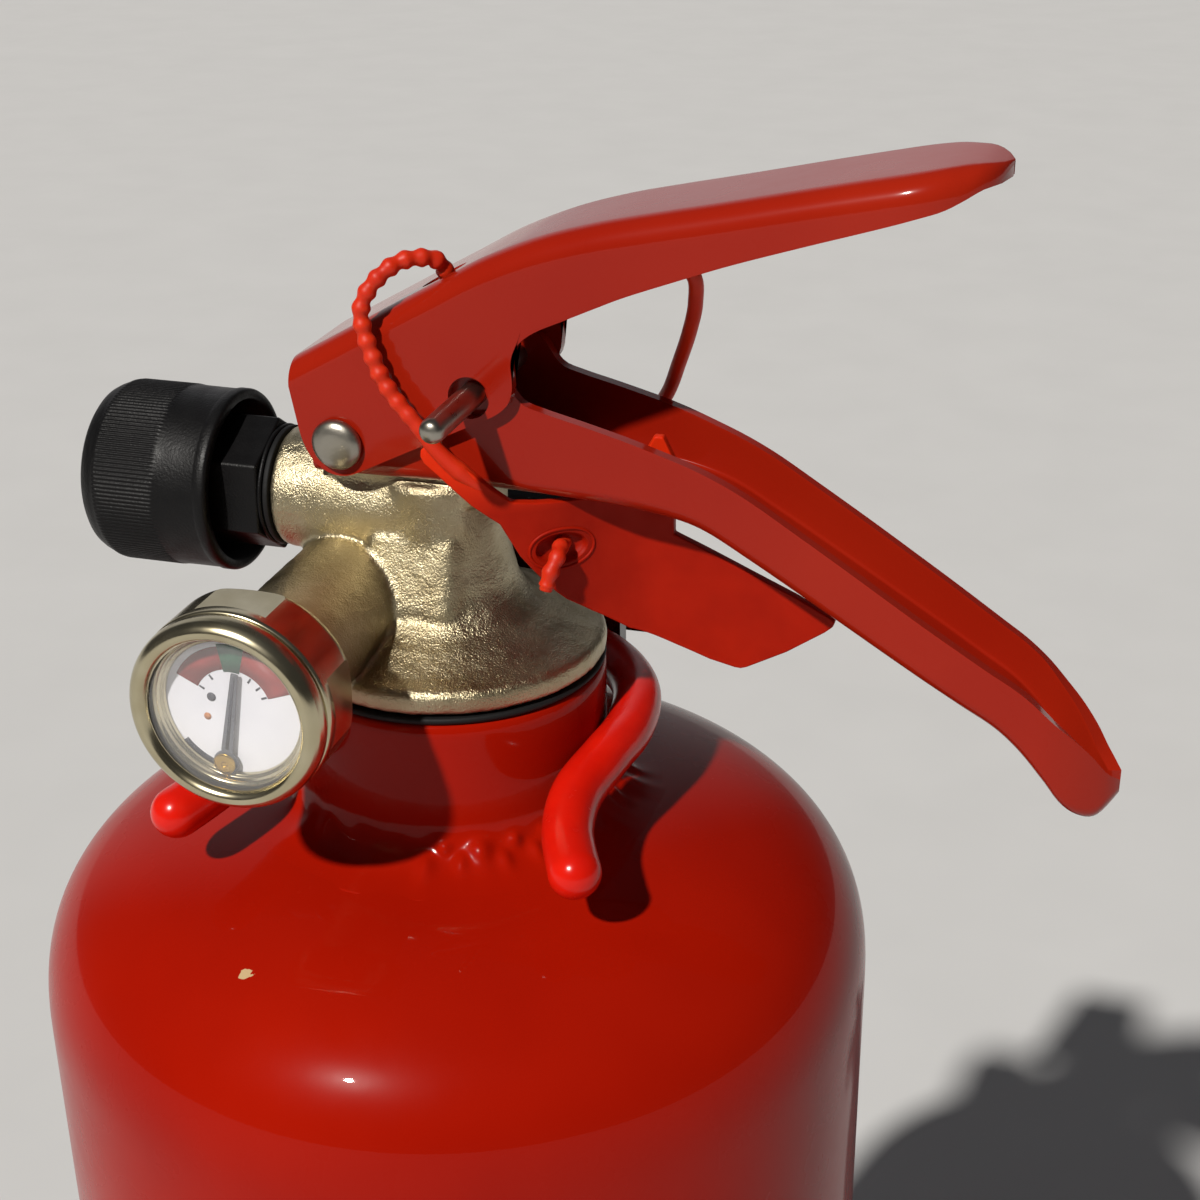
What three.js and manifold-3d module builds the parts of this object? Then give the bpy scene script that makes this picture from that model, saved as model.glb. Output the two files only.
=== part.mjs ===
// Portable 2 kg dry-powder fire extinguisher, standing on its base, with its valve, squeeze levers,
// pressure gauge, nozzle, safety pin, tamper seal and the neck clip that holds it to a wall.
// Millimetres, +Z up. The origin is the middle of the base on the floor, the levers point along +X,
// the nozzle along -X, the gauge along -Y and the wall is on the +Y side.
import * as THREE from 'three';
import { mergeVertices } from 'three/addons/utils/BufferGeometryUtils.js';
import Module from 'manifold-3d';

const wasm = await Module();
wasm.setup();

// ---- Driving dimensions ----

// Vessel
const BODY_R = 55;
const SHELL_T = 1.2;
const FLANGE_Z = 292; // lower face of the valve flange above the floor
const SHOULDER_DROP = 46.8; // from the flange down to where the dome starts
const DOME_H = 28.1; // rise of the dome's super-ellipse
const DOME_POWER = 2.7;
const COLLAR_R = 20;
const COLLAR_BORE_R = 15.1;
const BOOT_T = 2.0;
const BOOT_H = 24;
const POWDER_TOP = 213;

// Valve body, heights above the flange's lower face
const FLANGE_R = 20.05;
const SHANK_R = 14.6;
const COLUMN_R = 8;
const BARREL_R = 7.6;
const BARREL_Z = 20;
const BARREL_END_X = -20;
const GAUGE_X = -10.8;
const GAUGE_Z = 8.9;
const GAUGE_BOSS_R = 7.7;
const GAUGE_BOSS_END = 28.5; // distance of the boss face from the valve axis, towards -Y
const HEAD_HALF_W = 6.4;

// Levers
const SHEET_T = 1.5;
const LEVER_HALF_W = 10;
const HANDLE_HALF_W = 8.3;
const BEND_R = 3;
const PIVOT = { x: -8.9, z: 30.2 };
const LOCK = { x: 7.7, z: 37.3 }; // safety pin axis
const SQUEEZE_DEG = 12;
const RIVET_R = 2.4;
const RIVET_HEAD_R = 3.1;
const PIN_R = 1.5;
const RING_R = 11;
const RING_WIRE_R = 0.9;
const RING_HANG_DEG = 50; // the ring lies this far from straight down, towards the pivot

// Nozzle
const SLEEVE_FRONT_X = -44.5;
const SLEEVE_REAR_X = -26.6;
const SLEEVE_R = 11.6;
const HEX_FLATS = 15;

// Gauge, distances along -Y from the valve axis
const CASE_R = 11.7;
const CASE_BACK = 30.3;
const BEZEL_R = 11.2;
const BEZEL_FRONT = 41.4;
const DIAL_Y = 38;
const DIAL_TILT_DEG = 10.4; // the gauge is screwed in a little past upright
const DIAL_PIVOT_DROP = 7; // needle pivot below the dial's centre
const NEEDLE_L = 11.6;

// Tamper seal
const STRAP_R = 1.05;
const TAG_T = 1.4;

// Neck clip and wall base
const CLIP_WIRE_R = 3.2;
const CLIP_R = 23.3;
const CLIP_CENTRE_Y = 2.5;
const CLIP_Z = -9.1;
const CLIP_TIP = [25.3, -28.0];
const CLIP_TIP_DROP = 3.5;
const STRIP_T = 3;
const STRIP_W = 23.6;
const PAD_HALF_W = 14;
const PAD_Y = 29.4;
const WALL_Y = 62;

// ---- Helpers ----

const rad = THREE.MathUtils.degToRad;

// Makes a geometry position-only, shares its vertices and turns its faces outwards.
function closed(geometry) {
  const bare = geometry.clone();
  for (const key of Object.keys(bare.attributes)) {
    if (key !== 'position') bare.deleteAttribute(key);
  }
  const merged = mergeVertices(bare, 1e-4);
  const p = merged.attributes.position;
  const index = merged.index.array;
  const kept = [];
  let volume = 0;
  const [a, b, c] = [new THREE.Vector3(), new THREE.Vector3(), new THREE.Vector3()];
  for (let i = 0; i < index.length; i += 3) {
    const [u, v, w] = [index[i], index[i + 1], index[i + 2]];
    if (u === v || v === w || w === u) continue;
    kept.push(u, v, w);
    a.fromBufferAttribute(p, u);
    b.fromBufferAttribute(p, v);
    c.fromBufferAttribute(p, w);
    volume += a.dot(b.cross(c));
  }
  if (volume < 0) {
    for (let i = 0; i < kept.length; i += 3) {
      [kept[i], kept[i + 1]] = [kept[i + 1], kept[i]];
    }
  }
  merged.setIndex(kept);
  return merged;
}

function solid(geometry) {
  const g = closed(geometry);
  return new wasm.Manifold(new wasm.Mesh({
    numProp: 3,
    vertProperties: new Float32Array(g.attributes.position.array),
    triVerts: new Uint32Array(g.index.array),
  }));
}

function fromSolid(manifold) {
  const mesh = manifold.getMesh();
  const g = new THREE.BufferGeometry();
  g.setAttribute('position', new THREE.BufferAttribute(new Float32Array(mesh.vertProperties), 3));
  g.setIndex(new THREE.BufferAttribute(new Uint32Array(mesh.triVerts), 1));
  return g;
}

function union(geometries) {
  return geometries.map(solid).reduce((a, b) => a.add(b));
}

function cut(base, tools) {
  return tools.map(solid).reduce((a, b) => a.subtract(b), base);
}

// Turned piece: [radius, height] pairs about +Z.
function turned(profile, segments) {
  const points = profile.map(([r, z]) => new THREE.Vector2(r, z));
  return new THREE.LatheGeometry(points, segments).rotateX(Math.PI / 2);
}

function ring(profile, segments) {
  return turned([...profile, profile[0]], segments);
}

const towardX = (g) => g.rotateY(-Math.PI / 2); // +Z of the turned piece goes to -X
const towardY = (g) => g.rotateX(Math.PI / 2); // +Z of the turned piece goes to -Y

function rod(r, z0, z1, segments = 24) {
  return turned([[0, z0], [r, z0], [r, z1], [0, z1]], segments);
}

// Rod along -X or -Y, from one distance to another, at a height and side offset.
function rodX(r, from, to, z, segments) {
  return towardX(rod(r, from, to, segments)).translate(0, 0, z);
}

function rodY(r, from, to, x, z, segments) {
  return towardY(rod(r, from, to, segments)).translate(x, 0, z);
}

function shapeOf(points) {
  return new THREE.Shape(points.map(([x, y]) => new THREE.Vector2(x, y)));
}

// Side outline in X and Z, thickened from y0 to y1.
function prismY(shape, y0, y1) {
  const g = new THREE.ExtrudeGeometry(shape, { depth: y1 - y0, bevelEnabled: false, curveSegments: 6 });
  return g.rotateX(Math.PI / 2).translate(0, y1, 0);
}

function prismZ(shape, z0, z1) {
  const g = new THREE.ExtrudeGeometry(shape, { depth: z1 - z0, bevelEnabled: false, curveSegments: 6 });
  return g.translate(0, 0, z0);
}

function block(x0, x1, y0, y1, z0, z1) {
  const g = new THREE.BoxGeometry(x1 - x0, y1 - y0, z1 - z0);
  return g.translate((x0 + x1) / 2, (y0 + y1) / 2, (z0 + z1) / 2);
}

// Round bar along a smooth path.
function bar(points, r, sides, steps) {
  const path = new THREE.CatmullRomCurve3(points.map((p) => new THREE.Vector3(...p)), false, 'centripetal');
  const section = new THREE.Shape();
  for (let i = 0; i < sides; i += 1) {
    const a = (2 * Math.PI * i) / sides;
    const corner = [r * Math.cos(a), r * Math.sin(a)];
    if (i === 0) section.moveTo(...corner);
    else section.lineTo(...corner);
  }
  section.closePath();
  return new THREE.ExtrudeGeometry(section, { steps, extrudePath: path, bevelEnabled: false });
}

// Straight-line interpolation through [x, value] pairs, smoothed with a monotone blend.
function curveThrough(pairs) {
  const n = pairs.length;
  const slope = pairs.map((_, i) => {
    const a = pairs[Math.max(0, i - 1)];
    const b = pairs[Math.min(n - 1, i + 1)];
    return (b[1] - a[1]) / (b[0] - a[0]);
  });
  return (x) => {
    let i = 0;
    while (i < n - 2 && x > pairs[i + 1][0]) i += 1;
    const [x0, y0] = pairs[i];
    const [x1, y1] = pairs[i + 1];
    const h = x1 - x0;
    const t = Math.min(1, Math.max(0, (x - x0) / h));
    const t2 = t * t;
    const t3 = t2 * t;
    return (2 * t3 - 3 * t2 + 1) * y0 + (t3 - 2 * t2 + t) * h * slope[i]
      + (3 * t2 - 2 * t3) * y1 + (t3 - t2) * h * slope[i + 1];
  };
}

// Solid lofted through rings that all have the same number of corners; the ends are closed.
function loft(rings) {
  const n = rings[0].length;
  const vertices = rings.flat(2);
  const index = [];
  for (let s = 0; s < rings.length - 1; s += 1) {
    for (let i = 0; i < n; i += 1) {
      const j = (i + 1) % n;
      const [a, b, c, d] = [s * n + i, s * n + j, (s + 1) * n + j, (s + 1) * n + i];
      index.push(a, b, c, a, c, d);
    }
  }
  const last = (rings.length - 1) * n;
  for (let i = 1; i < n - 1; i += 1) {
    index.push(0, i + 1, i, last, last + i, last + i + 1);
  }
  const g = new THREE.BufferGeometry();
  g.setAttribute('position', new THREE.Float32BufferAttribute(vertices, 3));
  g.setIndex(index);
  return g;
}

// Pressed-sheet form: a block with one side rounded along both long edges. `edge` is the height of the
// rounded face, `far` the height of the open side, `half` the half width, all against x.
function pressing(xs, edge, half, corner, far) {
  const sign = Math.sign(edge(xs[0]) - far);
  const arcSteps = 3;
  return loft(xs.map((x) => {
    const w = half(x);
    const r = Math.min(corner, w * 0.9);
    const top = edge(x);
    const points = [[x, -w, far]];
    for (const side of [-1, 1]) {
      for (let k = 0; k <= arcSteps; k += 1) {
        const a = (Math.PI / 2) * (side < 0 ? k : arcSteps - k) / arcSteps;
        points.push([x, side * (w - r + r * Math.cos(a)), top - sign * (r - r * Math.sin(a))]);
      }
    }
    points.push([x, w, far]);
    return points;
  }));
}

function stations(x0, x1, count) {
  return Array.from({ length: count + 1 }, (_, i) => x0 + ((x1 - x0) * i) / count);
}

// ---- Materials ----

function material(color, roughness, metalness) {
  return new THREE.MeshStandardMaterial({ color, roughness, metalness });
}

const redPaint = material(0xa51905, 0.12, 0.0);
const leverPaint = material(0x9e1b0a, 0.16, 0.0);
const nickel = material(0xb5a673, 0.35, 0.9);
const brass = material(0xb58f3a, 0.3, 0.9);
const steel = material(0x9a9890, 0.25, 1.0);
const blackPlastic = material(0x17171a, 0.45, 0.0);
const blackRubber = material(0x121214, 0.8, 0.0);
const sealPlastic = material(0xd12a0c, 0.35, 0.0);
const dippedVinyl = material(0xe0200f, 0.3, 0.0);
const blackPaint = material(0x101012, 0.2, 0.0);
const whitePlastic = material(0xe8e8e4, 0.5, 0.0);
const powder = material(0xd9d3b8, 0.95, 0.0);
const clearPlastic = material(0xf4f8f8, 0.05, 0.0);

// ---- Scene ----

const extinguisher = new THREE.Group();
const head = new THREE.Group(); // everything measured from the flange's lower face
head.position.z = FLANGE_Z;
extinguisher.add(head);

function piece(parent, name, shape, mat) {
  const geometry = shape instanceof THREE.BufferGeometry ? closed(shape) : fromSolid(shape);
  const mesh = new THREE.Mesh(geometry, mat.clone());
  mesh.name = name;
  parent.add(mesh);
  return mesh;
}

// ---- Vessel ----

const domeStart = FLANGE_Z - SHOULDER_DROP;

function domePoints(inset, rMin, count) {
  const points = [];
  for (let i = 0; i <= count; i += 1) {
    const a = ((Math.PI / 2) * i) / count;
    const r = BODY_R * Math.cos(a) ** (2 / DOME_POWER);
    const z = DOME_H * Math.sin(a) ** (2 / DOME_POWER);
    const nx = (r / BODY_R) ** (DOME_POWER - 1) / BODY_R;
    const nz = (z / DOME_H) ** (DOME_POWER - 1) / DOME_H;
    const n = Math.hypot(nx, nz);
    const point = [r - (inset * nx) / n, domeStart + z - (inset * nz) / n];
    if (point[0] > rMin) points.push(point);
  }
  return points;
}

const shellHoleR = 17.3;
const crownZ = domeStart + DOME_H * (1 - (shellHoleR / BODY_R) ** DOME_POWER) ** (1 / DOME_POWER);
const shellProfile = [
  [0, 14], [20, 13], [38, 8], [46, 3.6], [50, 2.9], [53.4, 5], [BODY_R, 9.5],
  ...domePoints(0, shellHoleR + 1.5, 12),
  [shellHoleR, crownZ],
  [shellHoleR, crownZ - SHELL_T],
  ...domePoints(SHELL_T, shellHoleR + 1.5, 9).reverse(),
  [BODY_R - SHELL_T, 9.9], [52.4, 6], [49.8, 4.3], [46.5, 5], [38.3, 9.3], [20, 14.3], [0, 15.3],
];
piece(extinguisher, 'cylinder_shell', turned(shellProfile, 36), redPaint);

const collarProfile = [
  [COLLAR_BORE_R, -1], [19.5, -1], [COLLAR_R, -1.5], [COLLAR_R, -16.8], [20.8, -18.2], [22.9, -19.4],
  [17.1, -18.9], [17, -24], [COLLAR_BORE_R, -24],
];
piece(head, 'neck_collar', ring(collarProfile, 32), redPaint);

const bootProfile = [
  [0, 0], [54, 0], [56.6, 1.4], [57.3, 4], [57.3, BOOT_H - 0.8], [56.6, BOOT_H], [55.3, BOOT_H],
  [55.3, 9.4], [53.7, 4.7], [50.2, BOOT_T + 0.5], [46, BOOT_T], [0, BOOT_T],
];
piece(extinguisher, 'base_boot', turned(bootProfile, 36), blackPlastic);

const powderProfile = [
  [5.6, 16.2], [20, 15.2], [38, 10.3], [46.4, 6], [49.8, 5.4], [51.8, 7], [53.2, 11],
  [53.2, POWDER_TOP], [5.6, POWDER_TOP],
];
piece(extinguisher, 'powder_charge', ring(powderProfile, 24), powder);

// ---- Valve body ----

const bell = turned([
  [0, -26], [9.4, -26], [10, -25.4], [10, -17], [13.8, -17], [SHANK_R, -16.2], [SHANK_R, 0],
  [19.5, 0], [FLANGE_R, 0.5], [FLANGE_R, 2.8], [19.5, 3.3], [17, 4.2], [14, 5.8], [11.8, 7.8],
  [10, 10.4], [8.8, 13.4], [COLUMN_R, 17], [COLUMN_R, 23.8], [7.4, 24.6], [0, 24.6],
], 30);
const barrel = rodX(BARREL_R, 0, -BARREL_END_X, BARREL_Z, 26);
const gaugeBoss = rodY(GAUGE_BOSS_R, -4, GAUGE_BOSS_END, GAUGE_X, GAUGE_Z, 22);
const markPad = prismY(shapeOf([
  [-3.4, 4], [6.4, 4], [6.9, 5], [6.9, 16], [6.3, 16.6], [-3.3, 16.6], [-3.9, 16], [-3.9, 5],
]), -9.3, 0);
const gusset = prismY(shapeOf([[-15, 2.5], [-3, 2.5], [-3, 9], [-15, 9]]), -12, 3);
const headOutline = new THREE.Shape();
headOutline.moveTo(8, 22);
headOutline.lineTo(8, 30.8);
headOutline.lineTo(4.8, 35);
headOutline.lineTo(-3.5, 35);
headOutline.lineTo(-6, 33.9);
headOutline.absarc(PIVOT.x, PIVOT.z, 4.1, rad(62), rad(200), false);
headOutline.lineTo(-11.5, 22);
headOutline.closePath();
const headBlock = prismY(headOutline, -HEAD_HALF_W, HEAD_HALF_W);
const stemGuide = rod(4.2, 34, 38, 18);
const valveBody = cut(union([bell, barrel, gaugeBoss, markPad, gusset, headBlock, stemGuide]), [
  rod(6, -27, 8.8, 18), // pressure chamber
  rod(3.2, 8, 15, 14), // valve seat
  rod(4.6, 14, 26, 14), // outlet chamber
  rod(2.15, 25, 39, 14), // stem guide bore
  rodX(3.4, 0, 21, BARREL_Z, 12), // outlet
  rodX(5.4, 12, 21, BARREL_Z, 16), // nozzle socket
  rodY(1.2, 0, 30, GAUGE_X, GAUGE_Z, 12), // gauge passage
  rodX(1.0, 4, 11.5, 7.6, 10), // cross drilling to the chamber
  rodY(4.9, 19, 30, GAUGE_X, GAUGE_Z, 16), // gauge socket
  rodY(RIVET_R + 0.2, -8, 8, PIVOT.x, PIVOT.z, 16), // pivot bore
  block(5.4, 9, -5.3, 5.3, 24.7, 27.0), // slot for the lower handle's tongue
]);
piece(head, 'valve_body', valveBody, nickel);
piece(head, 'neck_seal', ring([[15.2, -0.95], [20.05, -0.95], [20.05, -0.05], [15.2, -0.05]], 30), blackRubber);

// ---- Valve works ----

const stem = turned([
  [0, 3.4], [1.6, 3.4], [1.9, 3.8], [1.9, 4.2], [5, 4.2], [5.2, 4.5], [5.2, 5.6], [1.9, 5.6],
  [1.9, 30], [1.15, 30.2], [1.15, 31.6], [1.9, 31.8], [2, 43.5], [1.7, 44.6], [1.0, 45.3], [0, 45.5],
], 14);
piece(head, 'valve_stem', stem, brass);
piece(head, 'valve_disc', ring([[2.0, 5.7], [5.1, 5.7], [5.1, 8.5], [2.0, 8.5]], 20), blackRubber);
const oRing = new THREE.TorusGeometry(1.62, 0.38, 6, 16).translate(0, 0, 30.9);
piece(head, 'stem_o_ring', oRing, blackRubber);

const springPoints = [];
const springTurns = 6;
for (let i = 0; i <= springTurns * 8; i += 1) {
  const a = (2 * Math.PI * i) / 8;
  springPoints.push([4.1 * Math.cos(a), 4.1 * Math.sin(a), -19 + (22.4 * i) / (springTurns * 8)]);
}
piece(head, 'valve_spring', bar(springPoints, 0.5, 5, springTurns * 10), steel);

const adapterProfile = [
  [2.6, -19.7], [5.6, -19.7], [5.7, -26.3], [7.4, -26.3], [7.4, -39.5], [6.9, -40], [5.3, -40],
  [5.3, -28], [2.6, -28],
];
piece(head, 'dip_tube_adapter', ring(adapterProfile, 16), blackPlastic);
const dipTubeEnd = 22 - FLANGE_Z;
piece(head, 'dip_tube', ring([[3.8, -28.3], [5, -28.3], [5, dipTubeEnd], [3.8, dipTubeEnd]], 16), whitePlastic);

// ---- Nozzle ----

const hexR = HEX_FLATS / Math.sqrt(3);
const hexagon = shapeOf(Array.from({ length: 6 }, (_, i) => {
  const a = rad(60 * i + 4);
  return [hexR * Math.cos(a), hexR * Math.sin(a)];
}));
const hex = towardX(prismZ(hexagon, 22.6, 28.4)).translate(0, 0, BARREL_Z);
const nozzleTurned = towardX(turned([
  [0, 12.8], [5, 12.8], [5.1, 13.2], [5.1, 20.95], [7.8, 20.95], [8, 21.3], [8, 22.3], [7.8, 22.7],
  [7, 22.7], [7, 41], [6.6, 41.4], [0, 41.4],
], 22)).translate(0, 0, BARREL_Z);
const nozzleBody = cut(union([nozzleTurned, hex]), [
  rodX(2.6, 12, 36, BARREL_Z, 16),
  towardX(turned([[0, 35], [2.6, 35], [4, 43], [0, 43]], 16)).translate(0, 0, BARREL_Z),
]);
piece(head, 'nozzle_body', nozzleBody, blackPlastic);
const washer = ring([[5.35, 20.1], [7.4, 20.1], [7.4, 20.85], [5.35, 20.85]], 20);
piece(head, 'nozzle_washer', towardX(washer).translate(0, 0, BARREL_Z), blackRubber);

const rear = -SLEEVE_REAR_X;
const front = -SLEEVE_FRONT_X;
const sleeveProfile = [
  [10.3, rear], [11.3, rear], [SLEEVE_R, rear + 0.4], [SLEEVE_R, rear + 2], [11.3, rear + 2.4],
  [11.3, rear + 8], [11.5, rear + 8.4], [11.4, front - 3.4], [11.0, front - 3], [10.9, front - 1.6],
  [10.2, front - 0.4], [9.2, front], [4.4, front], [4.2, front - 1], [4.2, 41.8], [7.3, 41.8],
  [7.3, 33], [10.3, 31.5],
];
piece(head, 'nozzle_sleeve', towardX(ring(sleeveProfile, 30)).translate(0, 0, BARREL_Z), blackPlastic);

// ---- Pressure gauge ----

const atGauge = (g) => towardY(g).translate(GAUGE_X, 0, GAUGE_Z);
const caseBody = cut(union([atGauge(turned([
  [0, 20.5], [4.3, 20.5], [4.6, 20.9], [4.6, 29.5], [8.6, 29.5], [10.8, CASE_BACK], [CASE_R, 31.4],
  [CASE_R, 37.6], [11, 38.3], [0, 38.3],
], 30))]), [
  atGauge(rod(10.1, 33.2, 39, 28)),
  atGauge(rod(1.0, 19, 34, 10)),
  atGauge(block(-13, 13, 10.9, 14, 30, 36.8)),
  atGauge(block(-13, 13, -14, -10.9, 30, 36.8)),
  atGauge(block(10.9, 14, -13, 13, 30, 36.8)),
]);
piece(head, 'gauge_case', caseBody, nickel);
const bezelProfile = [
  [10.2, 38.5], [BEZEL_R, 38.5], [11.3, 39.4], [11.1, 40.6], [10.5, BEZEL_FRONT], [9.9, BEZEL_FRONT],
  [9.5, 40.9], [9.5, 40.5], [10.2, 40.4],
];
piece(head, 'gauge_bezel', atGauge(ring(bezelProfile, 32)), nickel);
piece(head, 'gauge_lens', atGauge(rod(9.95, 39.5, 40.25, 28)), clearPlastic);
piece(head, 'gauge_seal', atGauge(ring([[4.8, 28.6], [6.4, 28.6], [6.4, 29.4], [4.8, 29.4]], 20)), blackRubber);

const tilt = rad(DIAL_TILT_DEG);
const pivotX = -DIAL_PIVOT_DROP * Math.sin(tilt);
const pivotZ = -DIAL_PIVOT_DROP * Math.cos(tilt);
const dial = cut(union([rodY(9.9, DIAL_Y - 0.7, DIAL_Y, 0, 0, 28)]), [
  rodY(1.0, DIAL_Y - 2, DIAL_Y + 1, pivotX, pivotZ, 16),
]).translate([GAUGE_X, 0, GAUGE_Z]);
piece(head, 'gauge_dial', dial, whitePlastic);

const shaft = towardY(turned([
  [0, 34], [0.8, 34], [0.8, 38.95], [1.3, 38.95], [1.3, 39.15], [0, 39.2],
], 16)).translate(GAUGE_X + pivotX, 0, GAUGE_Z + pivotZ);
piece(head, 'gauge_pivot', shaft, brass);
const needleOutline = new THREE.Shape();
needleOutline.moveTo(-0.45, NEEDLE_L);
needleOutline.lineTo(0.45, NEEDLE_L);
needleOutline.lineTo(0.7, 1.3);
needleOutline.absarc(0, 0, 1.45, rad(62), rad(118), true);
needleOutline.closePath();
const needleBlank = prismY(needleOutline, -DIAL_Y - 0.75, -DIAL_Y - 0.4).rotateY(tilt);
const needle = cut(solid(needleBlank), [rodY(0.95, DIAL_Y, DIAL_Y + 1, 0, 0, 16)])
  .translate([GAUGE_X + pivotX, 0, GAUGE_Z + pivotZ]);
piece(head, 'gauge_needle', needle, steel);

const bourdonPoints = [];
for (let i = 0; i <= 14; i += 1) {
  const a = rad(-60 + i * 20);
  bourdonPoints.push([6.2 * Math.cos(a), -35.2, 1.5 + 6.2 * Math.sin(a)]);
}
const bourdon = bar(bourdonPoints, 0.9, 6, 20).translate(GAUGE_X, 0, GAUGE_Z);
piece(head, 'gauge_bourdon_tube', bourdon, brass);

// ---- Upper lever ----

const leverTop = curveThrough([
  [-16, 39.0], [-4, 45.8], [4, 50.3], [9, 53.1], [15.5, 55.9], [22, 57.9], [28.5, 59.4], [36, 61.0],
  [46, 63.2], [54, 64.9], [58, 65.7], [61, 66.2], [64, 66.4], [66.5, 66.0], [68, 65.6],
]);
const leverTip = 66.6;
const leverHalf = (reach) => (x) => {
  const u = Math.max(0, (x - 55) / (leverTip - reach - 55));
  return (LEVER_HALF_W - reach) * Math.sqrt(Math.max(0.0025, 1 - u ** 2.4));
};
const leverUnder = (x) => leverTop(x) - SHEET_T * Math.hypot(1, (leverTop(x + 0.5) - leverTop(x - 0.5)));
const leverX = [...stations(-16, 8, 2), ...stations(12, 54, 9), ...stations(56.5, leverTip, 7)];
const leverInnerX = [...stations(-17, 8, 2), ...stations(12, 54, 9), ...stations(56.5, leverTip - SHEET_T, 6)];
const leverOutline = new THREE.Shape();
leverOutline.moveTo(-14.4, 44);
leverOutline.lineTo(-14.9, 38.9);
leverOutline.lineTo(-13.9, 31.5);
leverOutline.lineTo(-13.0, 28.8);
leverOutline.lineTo(-11.2, 26.7);
leverOutline.lineTo(-9.0, 26.1);
leverOutline.lineTo(-7.0, 26.5);
leverOutline.lineTo(9.0, 34.5);
leverOutline.quadraticCurveTo(13.2, 36.2, 13.1, 39.4);
leverOutline.quadraticCurveTo(12.2, 43.6, 16.2, 45.9);
leverOutline.lineTo(26, 50.4);
leverOutline.lineTo(38, 54.9);
leverOutline.lineTo(54, 60.0);
leverOutline.lineTo(60, 61.9);
leverOutline.lineTo(64, 64.1);
leverOutline.lineTo(69, 64.5);
leverOutline.lineTo(69, 80);
leverOutline.lineTo(-14.4, 80);
leverOutline.closePath();
const webHole = turned([[0, 40], [2.6, 40], [2.6, 60], [0, 60]], 20).translate(3.0, -3.8, 0);
const upperLever = cut(
  solid(pressing(leverX, leverTop, leverHalf(0), BEND_R, 0))
    .subtract(solid(pressing(leverInnerX, leverUnder, leverHalf(SHEET_T), BEND_R - SHEET_T, -5)))
    .intersect(solid(prismY(leverOutline, -20, 20))),
  [
    rodY(RIVET_R + 0.35, -12, 12, PIVOT.x, PIVOT.z, 20),
    rodY(PIN_R + 0.4, -12, 12, LOCK.x, LOCK.z, 20),
    webHole,
  ],
);
piece(head, 'upper_lever', upperLever, leverPaint);

// ---- Lower handle ----

const handleBottom = curveThrough([
  [-14, 25.2], [-9, 25.2], [5, 25.4], [12, 25.2], [18, 25.0], [26, 24.5], [31, 23.7], [35, 22.4],
  [40, 19.6], [47, 15.4], [59, 8.0], [66, 3.7], [70, 1.2], [73, -1.6], [76, -5.3], [78, -8.2],
  [80, -10.0], [82.2, -10.7], [84.0, -9.2], [85, -7.6],
]);
const handleWidth = curveThrough([
  [-14, HANDLE_HALF_W], [28, HANDLE_HALF_W], [34, 8], [60, 8], [68, 7.6], [73, 7.1], [76, 6.7],
  [79, 5.6], [81.5, 4.2], [83.4, 2.8], [84.4, 1.6], [85, 0.8],
]);
const handleTipX = 84.7;
const handleInner = (x) => handleBottom(x) + SHEET_T * Math.hypot(1, handleBottom(x + 0.5) - handleBottom(x - 0.5));
const handleX = [...stations(-14, 26, 2), ...stations(31, 66, 7), ...stations(69, handleTipX, 9)];
const handleInnerX = [...stations(-15, 26, 2), ...stations(31, 66, 7), ...stations(69, 83, 7)];
const handleOutline = new THREE.Shape();
handleOutline.moveTo(PIVOT.x, 20);
handleOutline.absarc(PIVOT.x, PIVOT.z, 4.4, rad(250), rad(95), true);
handleOutline.lineTo(-5, 34.2);
handleOutline.lineTo(2.5, 38.6);
handleOutline.lineTo(5.2, 40.6);
handleOutline.lineTo(9.8, 40.6);
handleOutline.lineTo(11.8, 39.2);
handleOutline.lineTo(13.2, 36.4);
handleOutline.lineTo(20.8, 34.5);
handleOutline.lineTo(27, 32.8);
handleOutline.lineTo(32, 31.1);
handleOutline.lineTo(36, 29.5);
handleOutline.lineTo(40, 27.5);
handleOutline.lineTo(52, 20.0);
handleOutline.lineTo(60, 14.8);
handleOutline.lineTo(69, 9.0);
handleOutline.lineTo(72, 7.1);
handleOutline.lineTo(74.4, 5.2);
handleOutline.lineTo(77, 2.7);
handleOutline.lineTo(79.3, 0.5);
handleOutline.lineTo(81.4, -1.9);
handleOutline.lineTo(83, -4.2);
handleOutline.lineTo(86, -7.2);
handleOutline.lineTo(86, -20);
handleOutline.lineTo(-6, -20);
handleOutline.closePath();

// The safety pin hole runs on below the pin as a slot, centred on the lever's pivot.
const lockReach = Math.hypot(LOCK.x - PIVOT.x, LOCK.z - PIVOT.z);
const lockAngle = Math.atan2(LOCK.z - PIVOT.z, LOCK.x - PIVOT.x);
const slotR = PIN_R + 0.4;
const slot = new THREE.Shape();
slot.absarc(LOCK.x, LOCK.z, slotR, lockAngle, lockAngle + Math.PI, false);
slot.absarc(PIVOT.x, PIVOT.z, lockReach - slotR, lockAngle, lockAngle - rad(SQUEEZE_DEG), true);
const slotEnd = lockAngle - rad(SQUEEZE_DEG);
slot.absarc(
  PIVOT.x + lockReach * Math.cos(slotEnd),
  PIVOT.z + lockReach * Math.sin(slotEnd),
  slotR, slotEnd + Math.PI, slotEnd + 2 * Math.PI, false,
);
slot.absarc(PIVOT.x, PIVOT.z, lockReach + slotR, slotEnd, lockAngle, false);

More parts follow.
